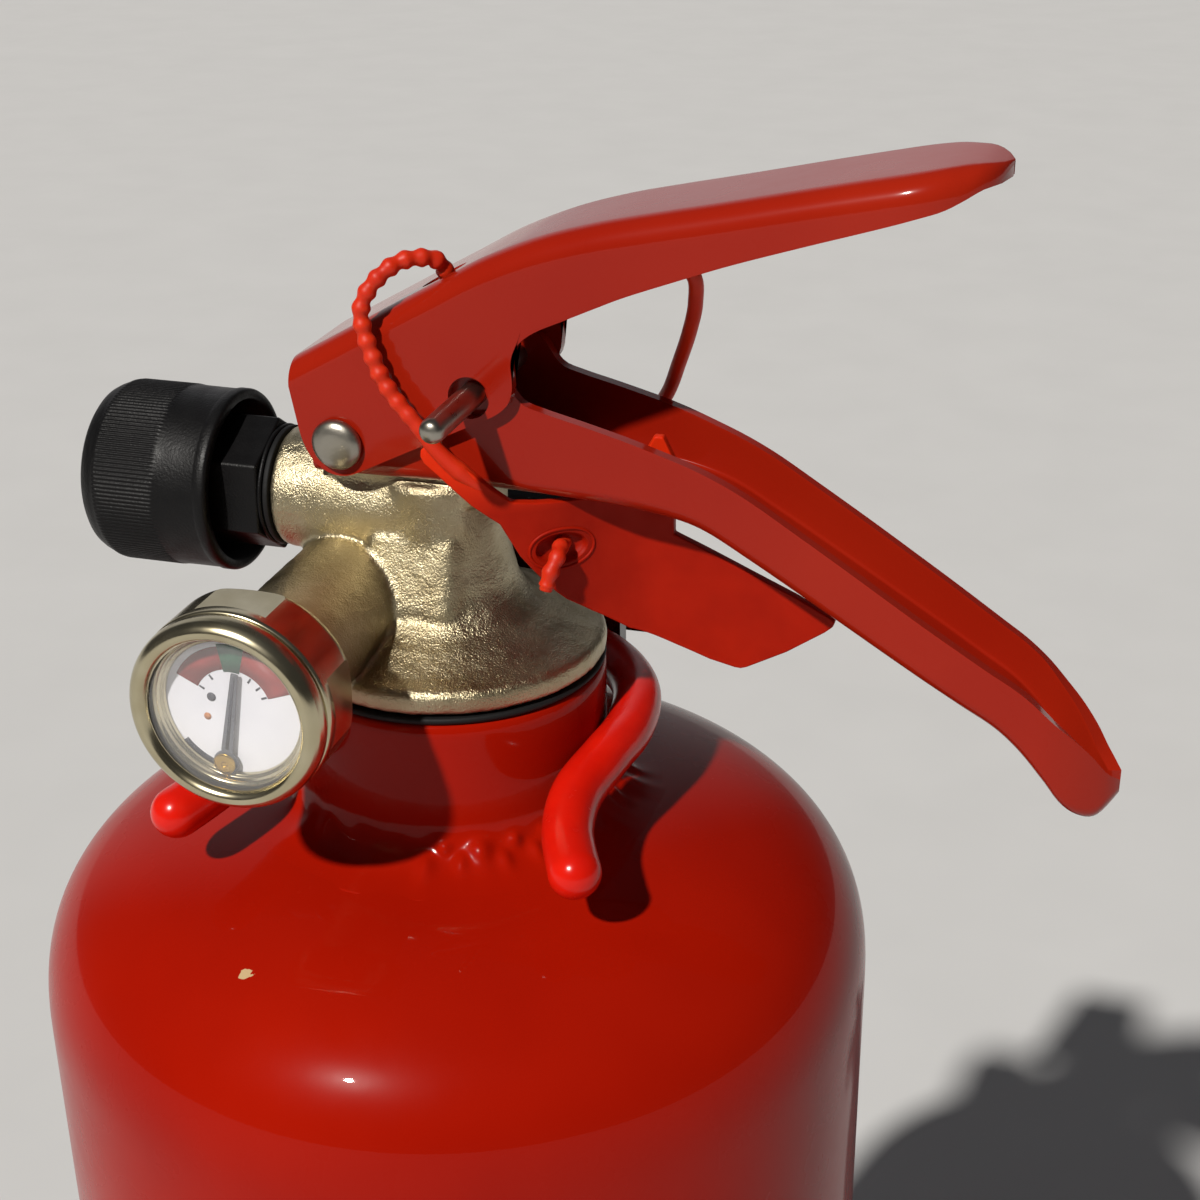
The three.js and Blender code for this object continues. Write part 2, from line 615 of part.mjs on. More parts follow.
const webOpening = prismZ(shapeOf([[-16, -6.8], [8.3, -6.8], [8.3, 6.8], [-16, 6.8]]), 15, 60);
const tongue = block(6.2, 8.6, -4.9, 4.9, 25.0, 26.7);
const tabSlot = block(23.9, 30.3, -1.4, 1.5, 15, 28);
const lowerHandle = cut(
  solid(pressing(handleX, handleBottom, handleWidth, BEND_R, 60))
    .subtract(solid(pressing(handleInnerX, handleInner, (x) => handleWidth(x) - SHEET_T, BEND_R - SHEET_T, 65)))
    .intersect(solid(prismY(handleOutline, -20, 20)))
    .subtract(solid(webOpening))
    .add(solid(tongue)),
  [
    rodY(RIVET_R + 0.2, -12, 12, PIVOT.x, PIVOT.z, 20),
    prismY(slot, -12, 12),
    tabSlot,
  ],
);
piece(head, 'lower_handle', lowerHandle, leverPaint);

// ---- Pivot rivet, safety pin and pull ring ----

const rivet = towardY(turned([
  [0, -12.1], [1.6, -11.9], [2.6, -11.3], [RIVET_HEAD_R, -10.6], [RIVET_HEAD_R, -10.3], [RIVET_R, -10.3],
  [RIVET_R, 10.3], [RIVET_HEAD_R, 10.3], [RIVET_HEAD_R, 10.6], [2.6, 11.3], [1.6, 11.9], [0, 12.1],
], 18)).translate(PIVOT.x, 0, PIVOT.z);
piece(head, 'pivot_rivet', rivet, steel);

const pinShaft = towardY(turned([
  [0, -17.6], [1.9, -17.2], [2.5, -16.4], [2.5, -12.9], [2.1, -12.4], [PIN_R, -12.2], [PIN_R, 21.6],
  [1.2, 22.3], [0.6, 22.6], [0, 22.7],
], 16)).translate(LOCK.x, 0, LOCK.z);
const hang = rad(RING_HANG_DEG);
const atRing = (g) => g.rotateY(hang).translate(LOCK.x, 14.7, LOCK.z);
const ringHole = atRing(rodX(RING_WIRE_R + 0.25, -12, 12, 0, 12));
piece(head, 'safety_pin', cut(solid(pinShaft), [ringHole]), steel);
const pullRing = atRing(new THREE.TorusGeometry(RING_R, RING_WIRE_R, 6, 28)
  .rotateX(Math.PI / 2)
  .translate(0, 0, -RING_R));
piece(head, 'pull_ring', pullRing, steel);

// ---- Tamper seal: one flexible moulding of a tag and its strap, in two nodes ----

const tagPlan = new THREE.CatmullRomCurve3([
  [-2, -11.6], [4, -11.4], [9, -10.6], [12.5, -9.3], [16.5, -6.9], [21, -2.9], [26, -0.2],
  [31, 0.3], [40, 0.3], [52, 0.3],
].map(([x, y]) => new THREE.Vector3(x, y, 0)));
const planPoints = tagPlan.getPoints(30);
const tagSide = (sign) => planPoints.map((p, i) => {
  const t = tagPlan.getTangentAt(i / 30);
  return new THREE.Vector2(p.x - (sign * t.y * TAG_T) / 2, p.y + (sign * t.x * TAG_T) / 2);
});
const tagRibbon = prismZ(new THREE.Shape([...tagSide(1), ...tagSide(-1).reverse()]), 0, 34);
const tagOutline = shapeOf([
  [0.5, 28.6], [0.9, 30.9], [2, 31.5], [4.3, 31.2], [7.4, 29.3], [10, 26.9], [12.4, 24.7],
  [15, 24.5], [20.4, 24.1], [24.6, 23.5], [24.6, 28.3],
  [25.6, 28.3], [27.1, 31.2], [28.2, 31.2], [29.6, 28.3], [29.6, 19.0], [44.8, 12.4], [49.6, 9.8],
  [48.4, 8.2], [43.8, 5.0], [38.9, 2.3], [37.4, 2.1], [34.2, 2.8], [24, 6.4], [20, 9.4],
  [17.6, 11.6], [16.0, 13.6], [14.2, 16.2], [13, 18], [11, 22.2], [7.9, 24.2], [4.2, 26.4], [1.7, 27.6],
]);
const lockOval = new THREE.Shape();
lockOval.absellipse(17.1, 18.4, 3.2, 2.0, 0, 2 * Math.PI, false, 0);
const lockHole = prismY(lockOval, -14, 2);
const tag = cut(solid(tagRibbon).intersect(solid(prismY(tagOutline, -14, 6))), [lockHole]);
piece(head, 'seal_tag', tag, sealPlastic);

const strapRoute = [
  [2.7, -12.1, 33.1], [1.6, -12.1, 34.8], [-0.4, -12.0, 37.0], [-2.0, -12.0, 39.5], [-3.1, -11.9, 42.1],
  [-4.0, -11.7, 44.8], [-4.3, -11.5, 47.1], [-3.4, -11.0, 49.5], [-1.9, -10.0, 51.3], [-0.4, -8.6, 52.3],
  [1.3, -7.2, 52.5], [2.6, -5.8, 52.1], [3.3, -4.6, 50.8], [3.3, -3.8, 48.7], [4.3, -3.6, 46.0],
  [7.4, -3.2, 45.6], [13.5, -1.6, 48.3], [21, 0.4, 51.4],
  [28, 1.7, 52.4], [31.0, 2.3, 50.2], [31.0, 3.6, 46.6], [29.9, 5.3, 42.6], [28.0, 7.8, 37.8],
  [25.9, 10.5, 33.0], [23.0, 13.4, 29.0], [19.5, 16.6, 26.8], [15.2, 16.9, 24.3], [13.4, 14.4, 21.6],
  [14.0, 9.5, 19.2], [15.6, 3.2, 18.0], [16.8, -2.6, 18.2], [17.4, -6.6, 18.7], [17.7, -9.0, 18.2],
  [17.1, -10.2, 16.4], [16.7, -10.7, 14.5],
];
piece(head, 'seal_strap', bar(strapRoute, STRAP_R, 6, 78), sealPlastic);

// ---- Neck clip and wall base ----

const clipRight = [CLIP_TIP, [24.4, -26.2], [22.4, -21.4], [21.5, -14.9], [22.7, -6.9], [23.4, 1.2]];
for (const a of [23, 45, 68, 90]) {
  clipRight.push([CLIP_R * Math.cos(rad(a)), CLIP_CENTRE_Y + CLIP_R * Math.sin(rad(a))]);
}
const clipLeft = clipRight.slice(0, -1).reverse().map(([x, y]) => [-x, y]);
const clipHeight = (y) => CLIP_Z - CLIP_TIP_DROP * (Math.max(0, -6 - y) / (-6 - CLIP_TIP[1])) ** 1.3;
const clipPoints = [...clipRight, ...clipLeft].map(([x, y]) => [x, y, clipHeight(y)]);
const tipBall = (sign) =>
  new THREE.SphereGeometry(CLIP_WIRE_R, 10, 6).translate(sign * CLIP_TIP[0], CLIP_TIP[1], clipHeight(CLIP_TIP[1]));
const clip = union([bar(clipPoints, CLIP_WIRE_R, 10, 52), tipBall(-1), tipBall(1)]);
piece(head, 'neck_clip', clip, dippedVinyl);

// One bent strip: a pad behind the clip, a run back to the wall and a leg that is screwed to it.
const stripSide = new THREE.Shape();
stripSide.moveTo(PAD_Y, 2);
stripSide.absarc(PAD_Y + 4, 6, 4, Math.PI, Math.PI / 2, true);
stripSide.lineTo(WALL_Y - STRIP_T, 10);
stripSide.lineTo(WALL_Y - STRIP_T, 14);
stripSide.lineTo(WALL_Y, 14);
stripSide.lineTo(WALL_Y, -24);
stripSide.lineTo(WALL_Y - STRIP_T, -24);
stripSide.lineTo(WALL_Y - STRIP_T, 7);
stripSide.lineTo(PAD_Y + 4, 7);
stripSide.absarc(PAD_Y + 4, 6, 1, Math.PI / 2, Math.PI, false);
stripSide.lineTo(PAD_Y + STRIP_T, -14);
stripSide.lineTo(PAD_Y, -14);
stripSide.closePath();
const strip = new THREE.ExtrudeGeometry(stripSide, { depth: STRIP_W, bevelEnabled: false, curveSegments: 5 })
  .translate(0, 0, -STRIP_W / 2)
  .applyMatrix4(new THREE.Matrix4().makeBasis(
    new THREE.Vector3(0, 1, 0), new THREE.Vector3(0, 0, 1), new THREE.Vector3(1, 0, 0),
  ));
const pad = block(-PAD_HALF_W, PAD_HALF_W, PAD_Y, PAD_Y + STRIP_T, -14, 2);
const screwHeights = { upper: 0, lower: -17 };
const atWall = (g, z) => towardY(g).translate(0, WALL_Y, z);
const screwHoles = Object.values(screwHeights).flatMap((z) => [
  atWall(rod(2.4, -1, 9, 16), z),
  atWall(turned([[0, 0.8], [2.4, 0.8], [4.9, 3.3], [4.9, 9], [0, 9]], 16), z),
]);
piece(head, 'wall_base', cut(union([strip, pad]), screwHoles), blackPaint);

for (const [name, z] of Object.entries(screwHeights)) {
  const screw = turned([
    [0, 0.3], [1.7, 0.3], [2.1, 0.6], [2.1, 0.7], [4.5, 3.1], [4.5, 3.4], [0, 3.4],
  ], 16);
  const recess = [block(-3, 3, -0.5, 0.5, 2.2, 6), block(-0.5, 0.5, -3, 3, 2.2, 6)];
  const screwSolid = solid(atWall(screw, z)).subtract(union(recess.map((g) => atWall(g, z))));
  piece(head, `wall_screw_${name}`, screwSolid, steel);
}

export default extinguisher;
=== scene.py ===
# Portable dry-powder fire extinguisher: looks. Metres, in the CAD frame; lengths below are in
# millimetres, with heights above the valve's flange, until a mesh is made.
import math
import random

import bmesh
import bpy
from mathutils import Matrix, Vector, noise


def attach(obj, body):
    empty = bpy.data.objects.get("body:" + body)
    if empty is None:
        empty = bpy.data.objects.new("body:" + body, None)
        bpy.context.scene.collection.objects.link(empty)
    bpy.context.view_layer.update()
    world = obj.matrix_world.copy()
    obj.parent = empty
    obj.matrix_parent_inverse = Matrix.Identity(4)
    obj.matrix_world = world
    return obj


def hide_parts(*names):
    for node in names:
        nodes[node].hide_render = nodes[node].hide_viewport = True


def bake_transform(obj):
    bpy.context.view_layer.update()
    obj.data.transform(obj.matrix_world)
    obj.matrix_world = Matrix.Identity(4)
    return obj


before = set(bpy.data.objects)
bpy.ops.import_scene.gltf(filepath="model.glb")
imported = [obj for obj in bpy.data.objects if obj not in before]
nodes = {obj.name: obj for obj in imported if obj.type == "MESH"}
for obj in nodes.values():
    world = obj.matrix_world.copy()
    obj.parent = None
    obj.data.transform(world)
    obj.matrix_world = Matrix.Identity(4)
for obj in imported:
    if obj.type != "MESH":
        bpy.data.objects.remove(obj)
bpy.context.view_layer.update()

FZ = 292.0                       # underside of the valve flange above the floor
MM = 0.001
BODY_R, SHOULDER = 55.0, 46.8    # cylinder's radius, and its shoulder below the flange
DOME_H, DOME_P = 28.1, 2.7       # dome's height, and the power of its curve
DOME_Z = FZ - SHOULDER
NECK_R = 20.0
GAUGE = (-10.8, 8.9)             # gauge axis: X and height
BARREL_Z = 20.0                  # height of the outlet's axis
PIVOT = (-8.9, 30.2)             # rivet's axis
LOCK = (7.7, 37.3)               # safety pin's axis
SHEET = 1.5                      # thickness of the pressed levers
BOX_FACES = [(0, 1, 3, 2), (4, 6, 7, 5), (0, 4, 5, 1), (2, 3, 7, 6), (0, 2, 6, 4), (1, 5, 7, 3)]


# ---------- mesh helpers

def unit(x):
    """x held between 0 and 1."""
    return min(1.0, max(0.0, x))


def swung(x, z, angle, centre):
    """(x, z) turned clockwise by an angle and put at a centre."""
    c, s = math.cos(angle), math.sin(angle)
    return centre[0] + x * c + z * s, centre[1] - x * s + z * c


def arc(cx, cy, r, a0, a1, n):
    angles = [math.radians(a0 + (a1 - a0) * i / n) for i in range(n + 1)]
    return [(cx + r * math.cos(a), cy + r * math.sin(a)) for a in angles]


def oval(cx, cy, rx, ry, n):
    angles = [2 * math.pi * i / n for i in range(n)]
    return [(cx + rx * math.cos(a), cy + ry * math.sin(a)) for a in angles]


def add(name, data):
    """A new object in the scene for a mesh, a light or a camera."""
    ob = bpy.data.objects.new(name, data)
    bpy.context.scene.collection.objects.link(ob)
    return ob


def mesh_from(name, verts, faces, smooth=True, lift=FZ):
    """Mesh from millimetres; lift=0 is for heights that are measured from the floor."""
    me = bpy.data.meshes.new(name)
    me.from_pydata([(x * MM, y * MM, (z + lift) * MM) for x, y, z in verts], [], faces)
    me.validate()
    bm = bmesh.new()
    bm.from_mesh(me)
    bmesh.ops.remove_doubles(bm, verts=bm.verts, dist=1e-7)
    bmesh.ops.recalc_face_normals(bm, faces=bm.faces)
    bm.to_mesh(me)
    bm.free()
    if smooth:
        me.shade_smooth()
    else:
        me.shade_flat()
    return add(name, me)


def box(name, xs, ys, zs):
    """Block between two X, two Y and two Z."""
    return mesh_from(name, [(x, y, z) for x in xs for y in ys for z in zs], BOX_FACES, smooth=False)


def soften(ob, width, segments, angle=32):
    """Rounds the sharp edges and keeps the flats flat."""
    b = ob.modifiers.new("edge", "BEVEL")
    b.width, b.segments = width * MM, segments
    b.limit_method, b.angle_limit = "ANGLE", math.radians(angle)
    b.use_clamp_overlap = True
    w = ob.modifiers.new("normals", "WEIGHTED_NORMAL")
    w.keep_sharp, w.weight = True, 60
    return ob


def even_normals(ob, angle):
    """Keeps the edges above an angle sharp and shades the rest by its large faces."""
    ob.data.set_sharp_from_angle(angle=math.radians(angle))
    w = ob.modifiers.new("normals", "WEIGHTED_NORMAL")
    w.keep_sharp, w.weight = True, 80
    return apply_all(ob)


def axis_map(direction, at):
    """Puts a turned profile's +Z along -X, -Y or +Z, at an (x, y, z) origin."""
    ox, oy, oz = at
    if direction == "-x":
        return lambda x, y, z: (ox - z, oy + y, oz + x)
    if direction == "-y":
        return lambda x, y, z: (ox + x, oy - z, oz + y)
    return lambda x, y, z: (ox + x, oy + y, oz + z)


def round_profile(profile, radius, steps=3):
    """Rounds the inner corners of a profile by up to `radius`."""
    out = [profile[0]]
    for a, b, c in zip(profile, profile[1:], profile[2:]):
        va, vc = Vector(a) - Vector(b), Vector(c) - Vector(b)
        la, lc = va.length, vc.length
        if la < 1e-6 or lc < 1e-6:
            out.append(b)
            continue
        r = min(radius, la * 0.45, lc * 0.45)
        p0, p1 = Vector(b) + va / la * r, Vector(b) + vc / lc * r
        for k in range(steps + 1):
            t = k / steps
            q = p0 * (1 - t) ** 2 + Vector(b) * 2 * t * (1 - t) + p1 * t * t
            out.append((q.x, q.y))
    out.append(profile[-1])
    return out


def turned(name, profile, segments=96, direction="+z", at=(0, 0, 0), closed=False, wave=None, lift=FZ):
    """Turned piece; wave(radius, height, angle) may change a point's radius."""
    put = axis_map(direction, at)
    rows = list(profile) + ([profile[0]] if closed else [])
    verts, faces = [], []
    for r, z in rows:
        for i in range(segments):
            a = 2 * math.pi * i / segments
            rr = wave(r, z, a) if wave and r > 0 else r
            verts.append(put(rr * math.cos(a), rr * math.sin(a), z))
    n = segments
    for s in range(len(rows) - 1):
        for i in range(n):
            j = (i + 1) % n
            faces.append((s * n + i, s * n + j, (s + 1) * n + j, (s + 1) * n + i))
    return mesh_from(name, verts, faces, lift=lift)


def spline(points, per):
    """Centripetal Catmull-Rom points through the given ones."""
    given = [Vector(p) for p in points]
    ends = given[0] * 2 - given[1], given[-1] * 2 - given[-2]
    P = [ends[0], *given, ends[1]]
    out = []
    for p0, p1, p2, p3 in zip(P, P[1:], P[2:], P[3:]):
        t0 = 0.0
        t1 = t0 + max((p1 - p0).length, 1e-6) ** 0.5
        t2 = t1 + max((p2 - p1).length, 1e-6) ** 0.5
        t3 = t2 + max((p3 - p2).length, 1e-6) ** 0.5
        for k in range(per):
            t = t1 + (t2 - t1) * k / per
            a1 = p0 * ((t1 - t) / (t1 - t0)) + p1 * ((t - t0) / (t1 - t0))
            a2 = p1 * ((t2 - t) / (t2 - t1)) + p2 * ((t - t1) / (t2 - t1))
            a3 = p2 * ((t3 - t) / (t3 - t2)) + p3 * ((t - t2) / (t3 - t2))
            b1 = a1 * ((t2 - t) / (t2 - t0)) + a2 * ((t - t0) / (t2 - t0))
            b2 = a2 * ((t3 - t) / (t3 - t1)) + a3 * ((t - t1) / (t3 - t1))
            out.append(b1 * ((t2 - t) / (t2 - t1)) + b2 * ((t - t1) / (t2 - t1)))
    return out + [given[-1]]


def resample(points, step):
    """Points at even steps along a polyline, each with its distance from the start; and its length."""
    d = [0.0]
    for a, b in zip(points, points[1:]):
        d.append(d[-1] + (b - a).length)
    count = max(2, round(d[-1] / step))
    out, i = [], 0
    for k in range(count + 1):
        s = d[-1] * k / count
        while i < len(d) - 2 and d[i + 1] < s:
            i += 1
        t = unit((s - d[i]) / max(1e-9, d[i + 1] - d[i]))
        out.append((points[i].lerp(points[i + 1], t), s))
    return out, d[-1]


def sweep(name, path, radius, sides, closed=False):
    """Round section along a path of (point, distance); radius(distance) gives its size."""
    pts = [p for p, _ in path]
    n = len(pts)
    verts, faces = [], []
    normal = None
    for i, (p, distance) in enumerate(path):
        if closed:
            t = (pts[(i + 1) % n] - pts[i - 1]).normalized()
        else:
            t = (pts[min(n - 1, i + 1)] - pts[max(0, i - 1)]).normalized()
        if normal is None:
            normal = t.orthogonal().normalized()
        normal = (normal - t * normal.dot(t)).normalized()
        side = t.cross(normal)
        r = radius(distance)
        for k in range(sides):
            a = 2 * math.pi * k / sides
            verts.append(tuple(p + (normal * math.cos(a) + side * math.sin(a)) * r))
    for i in range(n if closed else n - 1):
        j = (i + 1) % n
        for k in range(sides):
            m = (k + 1) % sides
            faces.append((i * sides + k, i * sides + m, j * sides + m, j * sides + k))
    if not closed:
        faces.append(tuple(range(sides))[::-1])
        faces.append(tuple((n - 1) * sides + k for k in range(sides)))
    return mesh_from(name, verts, faces)


def prism(name, outline, depth0, depth1, holes=()):
    """Plate cut to an outline in X and Z, between two depths in Y."""
    bm = bmesh.new()
    edges = []
    for loop in (outline, *holes):
        vs = [bm.verts.new((x * MM, 0, z * MM)) for x, z in loop]
        edges += [bm.edges.new(pair) for pair in zip(vs, vs[1:] + vs[:1])]
    bmesh.ops.triangle_fill(bm, use_beauty=True, use_dissolve=False, edges=edges)
    bmesh.ops.dissolve_limit(bm, angle_limit=0.001, verts=bm.verts, edges=bm.edges)
    grown = bmesh.ops.extrude_face_region(bm, geom=bm.faces[:])
    far = {g for g in grown["geom"] if isinstance(g, bmesh.types.BMVert)}
    for v in bm.verts:
        v.co.y = (depth1 if v in far else depth0) * MM
        v.co.z += FZ * MM
    bmesh.ops.recalc_face_normals(bm, faces=bm.faces)
    me = bpy.data.meshes.new(name)
    bm.to_mesh(me)
    bm.free()
    me.shade_smooth()
    return add(name, me)


def apply_all(ob):
    """Bakes the modifiers into the mesh."""
    dg = bpy.context.evaluated_depsgraph_get()
    dg.update()
    me = bpy.data.meshes.new_from_object(ob.evaluated_get(dg), depsgraph=dg)
    ob.modifiers.clear()
    old = ob.data
    ob.data = me
    me.name = ob.name
    if old.users == 0:
        bpy.data.meshes.remove(old)
    return ob


def drop(ob):
    """Deletes a tool and its mesh."""
    me = ob.data
    bpy.data.objects.remove(ob)
    if me.users == 0:
        bpy.data.meshes.remove(me)


def subtract(ob, tools):
    """Cuts the tools out of a piece and deletes them."""
    for t in tools:
        m = ob.modifiers.new("cut", "BOOLEAN")
        m.operation, m.object, m.solver = "DIFFERENCE", t, "EXACT"
    apply_all(ob)
    for t in tools:
        drop(t)
    return ob


def fuse(name, parts, voxel, rounds):
    """One cast skin over several forms: voxel remesh, then smoothing that rounds every join."""
    bm = bmesh.new()
    for p in parts:
        bm.from_mesh(p.data)
    me = bpy.data.meshes.new(name)
    bm.to_mesh(me)
    bm.free()
    for p in parts:
        drop(p)
    ob = add(name, me)
    r = ob.modifiers.new("skin", "REMESH")
    r.mode, r.voxel_size, r.adaptivity = "VOXEL", voxel * MM, 0.0
    s = ob.modifiers.new("round", "SMOOTH")
    s.factor, s.iterations = 0.5, rounds
    apply_all(ob)
    ob.data.shade_smooth()
    return ob


def displace(ob, amount, scale, seed):
    """Moves the vertices along their normals by noise; amount and scale in mm."""
    me = ob.data
    normals = [v.normal.copy() for v in me.vertices]
    off = Vector((seed, seed * 1.7, -seed))
    for v, n in zip(me.vertices, normals):
        v.co += n * (noise.noise(v.co / (scale * MM) + off) * amount * MM)
    me.update()


# ---------- material helpers

class Mat:
    """Small wrapper that builds a node tree in object space, where 1 unit is 1 mm."""

    def __init__(self, name):
        self.m = bpy.data.materials.new(name)
        self.m.use_nodes = True
        self.t = self.m.node_tree
        self.b = next(n for n in self.t.nodes if n.type == "BSDF_PRINCIPLED")
        geo = self.node("ShaderNodeTexCoord")
        mp = self.node("ShaderNodeMapping")
        mp.inputs["Scale"].default_value = (1000, 1000, 1000)
        self.link(geo.outputs["Object"], mp.inputs["Vector"])
        self.p = mp.outputs["Vector"]
        self.relief = None

    def node(self, kind, **props):
        n = self.t.nodes.new(kind)
        for k, v in props.items():
            setattr(n, k, v)
        return n

    def link(self, a, b):
        self.t.links.new(a, b)

    def set(self, **values):
        for k, v in values.items():
            key = k.replace("_", " ")
            s = next(i for i in self.b.inputs if i.name.lower() == key.lower())
            s.default_value = v
        return self

    def noise(self, scale, detail=3.0, rough=0.5, stretch=None):
        n = self.node("ShaderNodeTexNoise")
        n.inputs["Scale"].default_value = 1.0 / scale
        n.inputs["Detail"].default_value = detail
        n.inputs["Roughness"].default_value = rough
        src = self.p
        if stretch:
            mp = self.node("ShaderNodeMapping")
            mp.inputs["Scale"].default_value = stretch
            self.link(self.p, mp.inputs["Vector"])
            src = mp.outputs["Vector"]
        self.link(src, n.inputs["Vector"])
        return n.outputs["Fac"]

    def cells(self, scale):
        n = self.node("ShaderNodeTexVoronoi", feature="F1")
        n.inputs["Scale"].default_value = 1.0 / scale
        self.link(self.p, n.inputs["Vector"])
        return n.outputs["Distance"]

    def remap(self, x, a, b, c=0.0, d=1.0):
        n = self.node("ShaderNodeMapRange")
        n.inputs["From Min"].default_value, n.inputs["From Max"].default_value = a, b
        n.inputs["To Min"].default_value, n.inputs["To Max"].default_value = c, d
        self.link(x, n.inputs["Value"])
        return n.outputs["Result"]

    def math(self, op, a, b=None):
        n = self.node("ShaderNodeMath", operation=op)
        for i, v in enumerate((a, b)):
            if v is None:
                continue
            if isinstance(v, (int, float)):
                n.inputs[i].default_value = v
            else:
                self.link(v, n.inputs[i])
        return n.outputs[0]

    def axis(self):
        n = self.node("ShaderNodeSeparateXYZ")
        self.link(self.p, n.inputs[0])
        return n.outputs

    def mix(self, fac, a, b):
        n = self.node("ShaderNodeMix", data_type="RGBA")
        for s, v in ((n.inputs[0], fac), (n.inputs[6], a), (n.inputs[7], b)):
            if isinstance(v, (int, float)):
                s.default_value = v
            elif isinstance(v, tuple):
                s.default_value = (*v, 1)
            else:
                self.link(v, s)
        return n.outputs[2]

    def color(self, out):
        self.link(out, self.b.inputs["Base Color"])
        return self

    def rough(self, out):
        self.link(out, self.b.inputs["Roughness"])
        return self

    def bump(self, out, depth):
        """Relief of `depth` mm for a height from 0 to 1, over the relief already there."""
        n = self.node("ShaderNodeBump")
        n.inputs["Strength"].default_value = 1.0
        n.inputs["Distance"].default_value = depth * MM
        self.link(out, n.inputs["Height"])
        if self.relief is not None:
            self.link(self.relief, n.inputs["Normal"])
        self.relief = n.outputs["Normal"]
        self.link(self.relief, self.b.inputs["Normal"])
        return self


def srgb(r, g, b):
    def f(c):
        c /= 255
        return c / 12.92 if c <= 0.04045 else ((c + 0.055) / 1.055) ** 2.4
    return f(r), f(g), f(b)


def red_gloss(name, base, deep, peel, coat, blur=0.02, chip_at=None):
    """Glossy enamel with orange peel and dust, and where asked one small chip down to the primer."""
    m = Mat(name)
    tone = m.remap(m.noise(38, 3), 0.35, 0.65)
    dust = m.remap(m.cells(5.5), 0.045, 0.02)
    worn = m.remap(m.noise(2.6, 2), 0.62, 0.70)
    specks = m.math("MULTIPLY", m.math("MULTIPLY", dust, worn), 0.55)
    col = m.mix(specks, m.mix(tone, base, deep), srgb(205, 150, 125))
    if chip_at:
        near = m.node("ShaderNodeVectorMath", operation="DISTANCE")
        m.link(m.p, near.inputs[0])
        near.inputs[1].default_value = chip_at
        edge = m.math("ADD", near.outputs["Value"], m.remap(m.noise(1.7, 3), 0.2, 0.8, -1.1, 1.1))
        col = m.mix(m.remap(edge, 0.78, 0.66), col, srgb(190, 164, 122))
    m.color(col)
    m.rough(m.remap(m.noise(14, 4, 0.6), 0.3, 0.7, 0.22, 0.34))
    m.set(Specular_IOR_Level=0.03, Coat_Weight=coat, Coat_Roughness=blur, Coat_IOR=1.32)
    m.bump(m.noise(2.2, 2, 0.4), peel)
    m.bump(m.noise(7.5, 2, 0.4), peel * 3)
    return m.m


def metal(name, light, dark, grain, depth, rough):
    """Cast or drawn metal with a fine grain in mm."""
    m = Mat(name)
    m.color(m.mix(m.remap(m.noise(11, 4, 0.6), 0.3, 0.7), light, dark))
    m.rough(m.remap(m.noise(3.5, 5, 0.65), 0.3, 0.7, *rough))
    m.set(Metallic=1.0)
    m.bump(m.noise(grain * 3, 2, 0.5), depth * 0.6)
    m.bump(m.noise(grain, 2, 0.7), depth)
    return m.m


def turned_metal(name, light, dark, axis_index, rough, depth):
    """Machined metal with fine rings across its turning axis."""
    m = Mat(name)
    stretch = [0.02, 0.02, 0.02]
    stretch[axis_index] = 1.0
    m.color(m.mix(m.remap(m.noise(6, 3), 0.3, 0.7), light, dark))
    m.rough(m.remap(m.noise(5, 3), 0.3, 0.7, *rough))
    m.set(Metallic=1.0)
    m.bump(m.noise(0.09, 2, 0.5, tuple(stretch)), depth)
    return m.m


def plastic(name, base, other, rough, depth, grain, spec=0.5):
    """Moulded plastic, rubber, powder or print."""
    m = Mat(name)
    m.color(m.mix(m.remap(m.noise(9, 4, 0.6), 0.3, 0.7), base, other))
    m.rough(m.remap(m.noise(2.4, 4, 0.6), 0.3, 0.7, *rough))
    m.set(Specular_IOR_Level=spec)
    m.bump(m.noise(grain, 3, 0.6), depth)
    return m.m


def soft_red(name, base, deep, sss, rough, grain, depth, spec=0.3, lit_top=None):
    """Soft translucent plastic; its last colour, where given, is painted light: lighter above the tag's bend,
    standing in for light that comes through.
    """
    m = Mat(name)
    col = m.mix(m.remap(m.noise(6, 3), 0.3, 0.7), base, deep)
    if lit_top:
        # Painted light: lighter above the tag's bend, as if light came through it
        col = m.mix(m.remap(m.axis()["Z"], FZ + 23.5, FZ + 28.5), col, lit_top)
    m.color(col)
    m.rough(m.remap(m.noise(3, 4), 0.3, 0.7, *rough))
    m.set(Specular_IOR_Level=spec, Subsurface_Weight=sss, Subsurface_Radius=(1.0, 0.12, 0.05),
          Subsurface_Scale=0.0012)
    m.bump(m.noise(grain, 2, 0.5), depth)
    return m.m


def clear_window(name):
    m = Mat(name)
    m.color(m.mix(m.remap(m.noise(8, 3), 0.3, 0.7), (0.93, 0.93, 0.95), (0.97, 0.97, 0.97)))
    m.rough(m.remap(m.noise(3, 4), 0.3, 0.7, 0.05, 0.12))
    m.set(Alpha=0.09, Specular_IOR_Level=1.0, Coat_Weight=0.6)
    m.bump(m.noise(5, 2), 0.01)
    return m.m


CHIP_AT = (-11.2, -41.0, 267.0)  # on the dome's front, from the floor
body_paint = red_gloss("body_paint", srgb(157, 20, 3), srgb(147, 16, 2), 0.004, 0.40, chip_at=CHIP_AT)
lever_paint = red_gloss("lever_paint", srgb(152, 31, 12), srgb(144, 25, 9), 0.006, 0.85, 0.09)

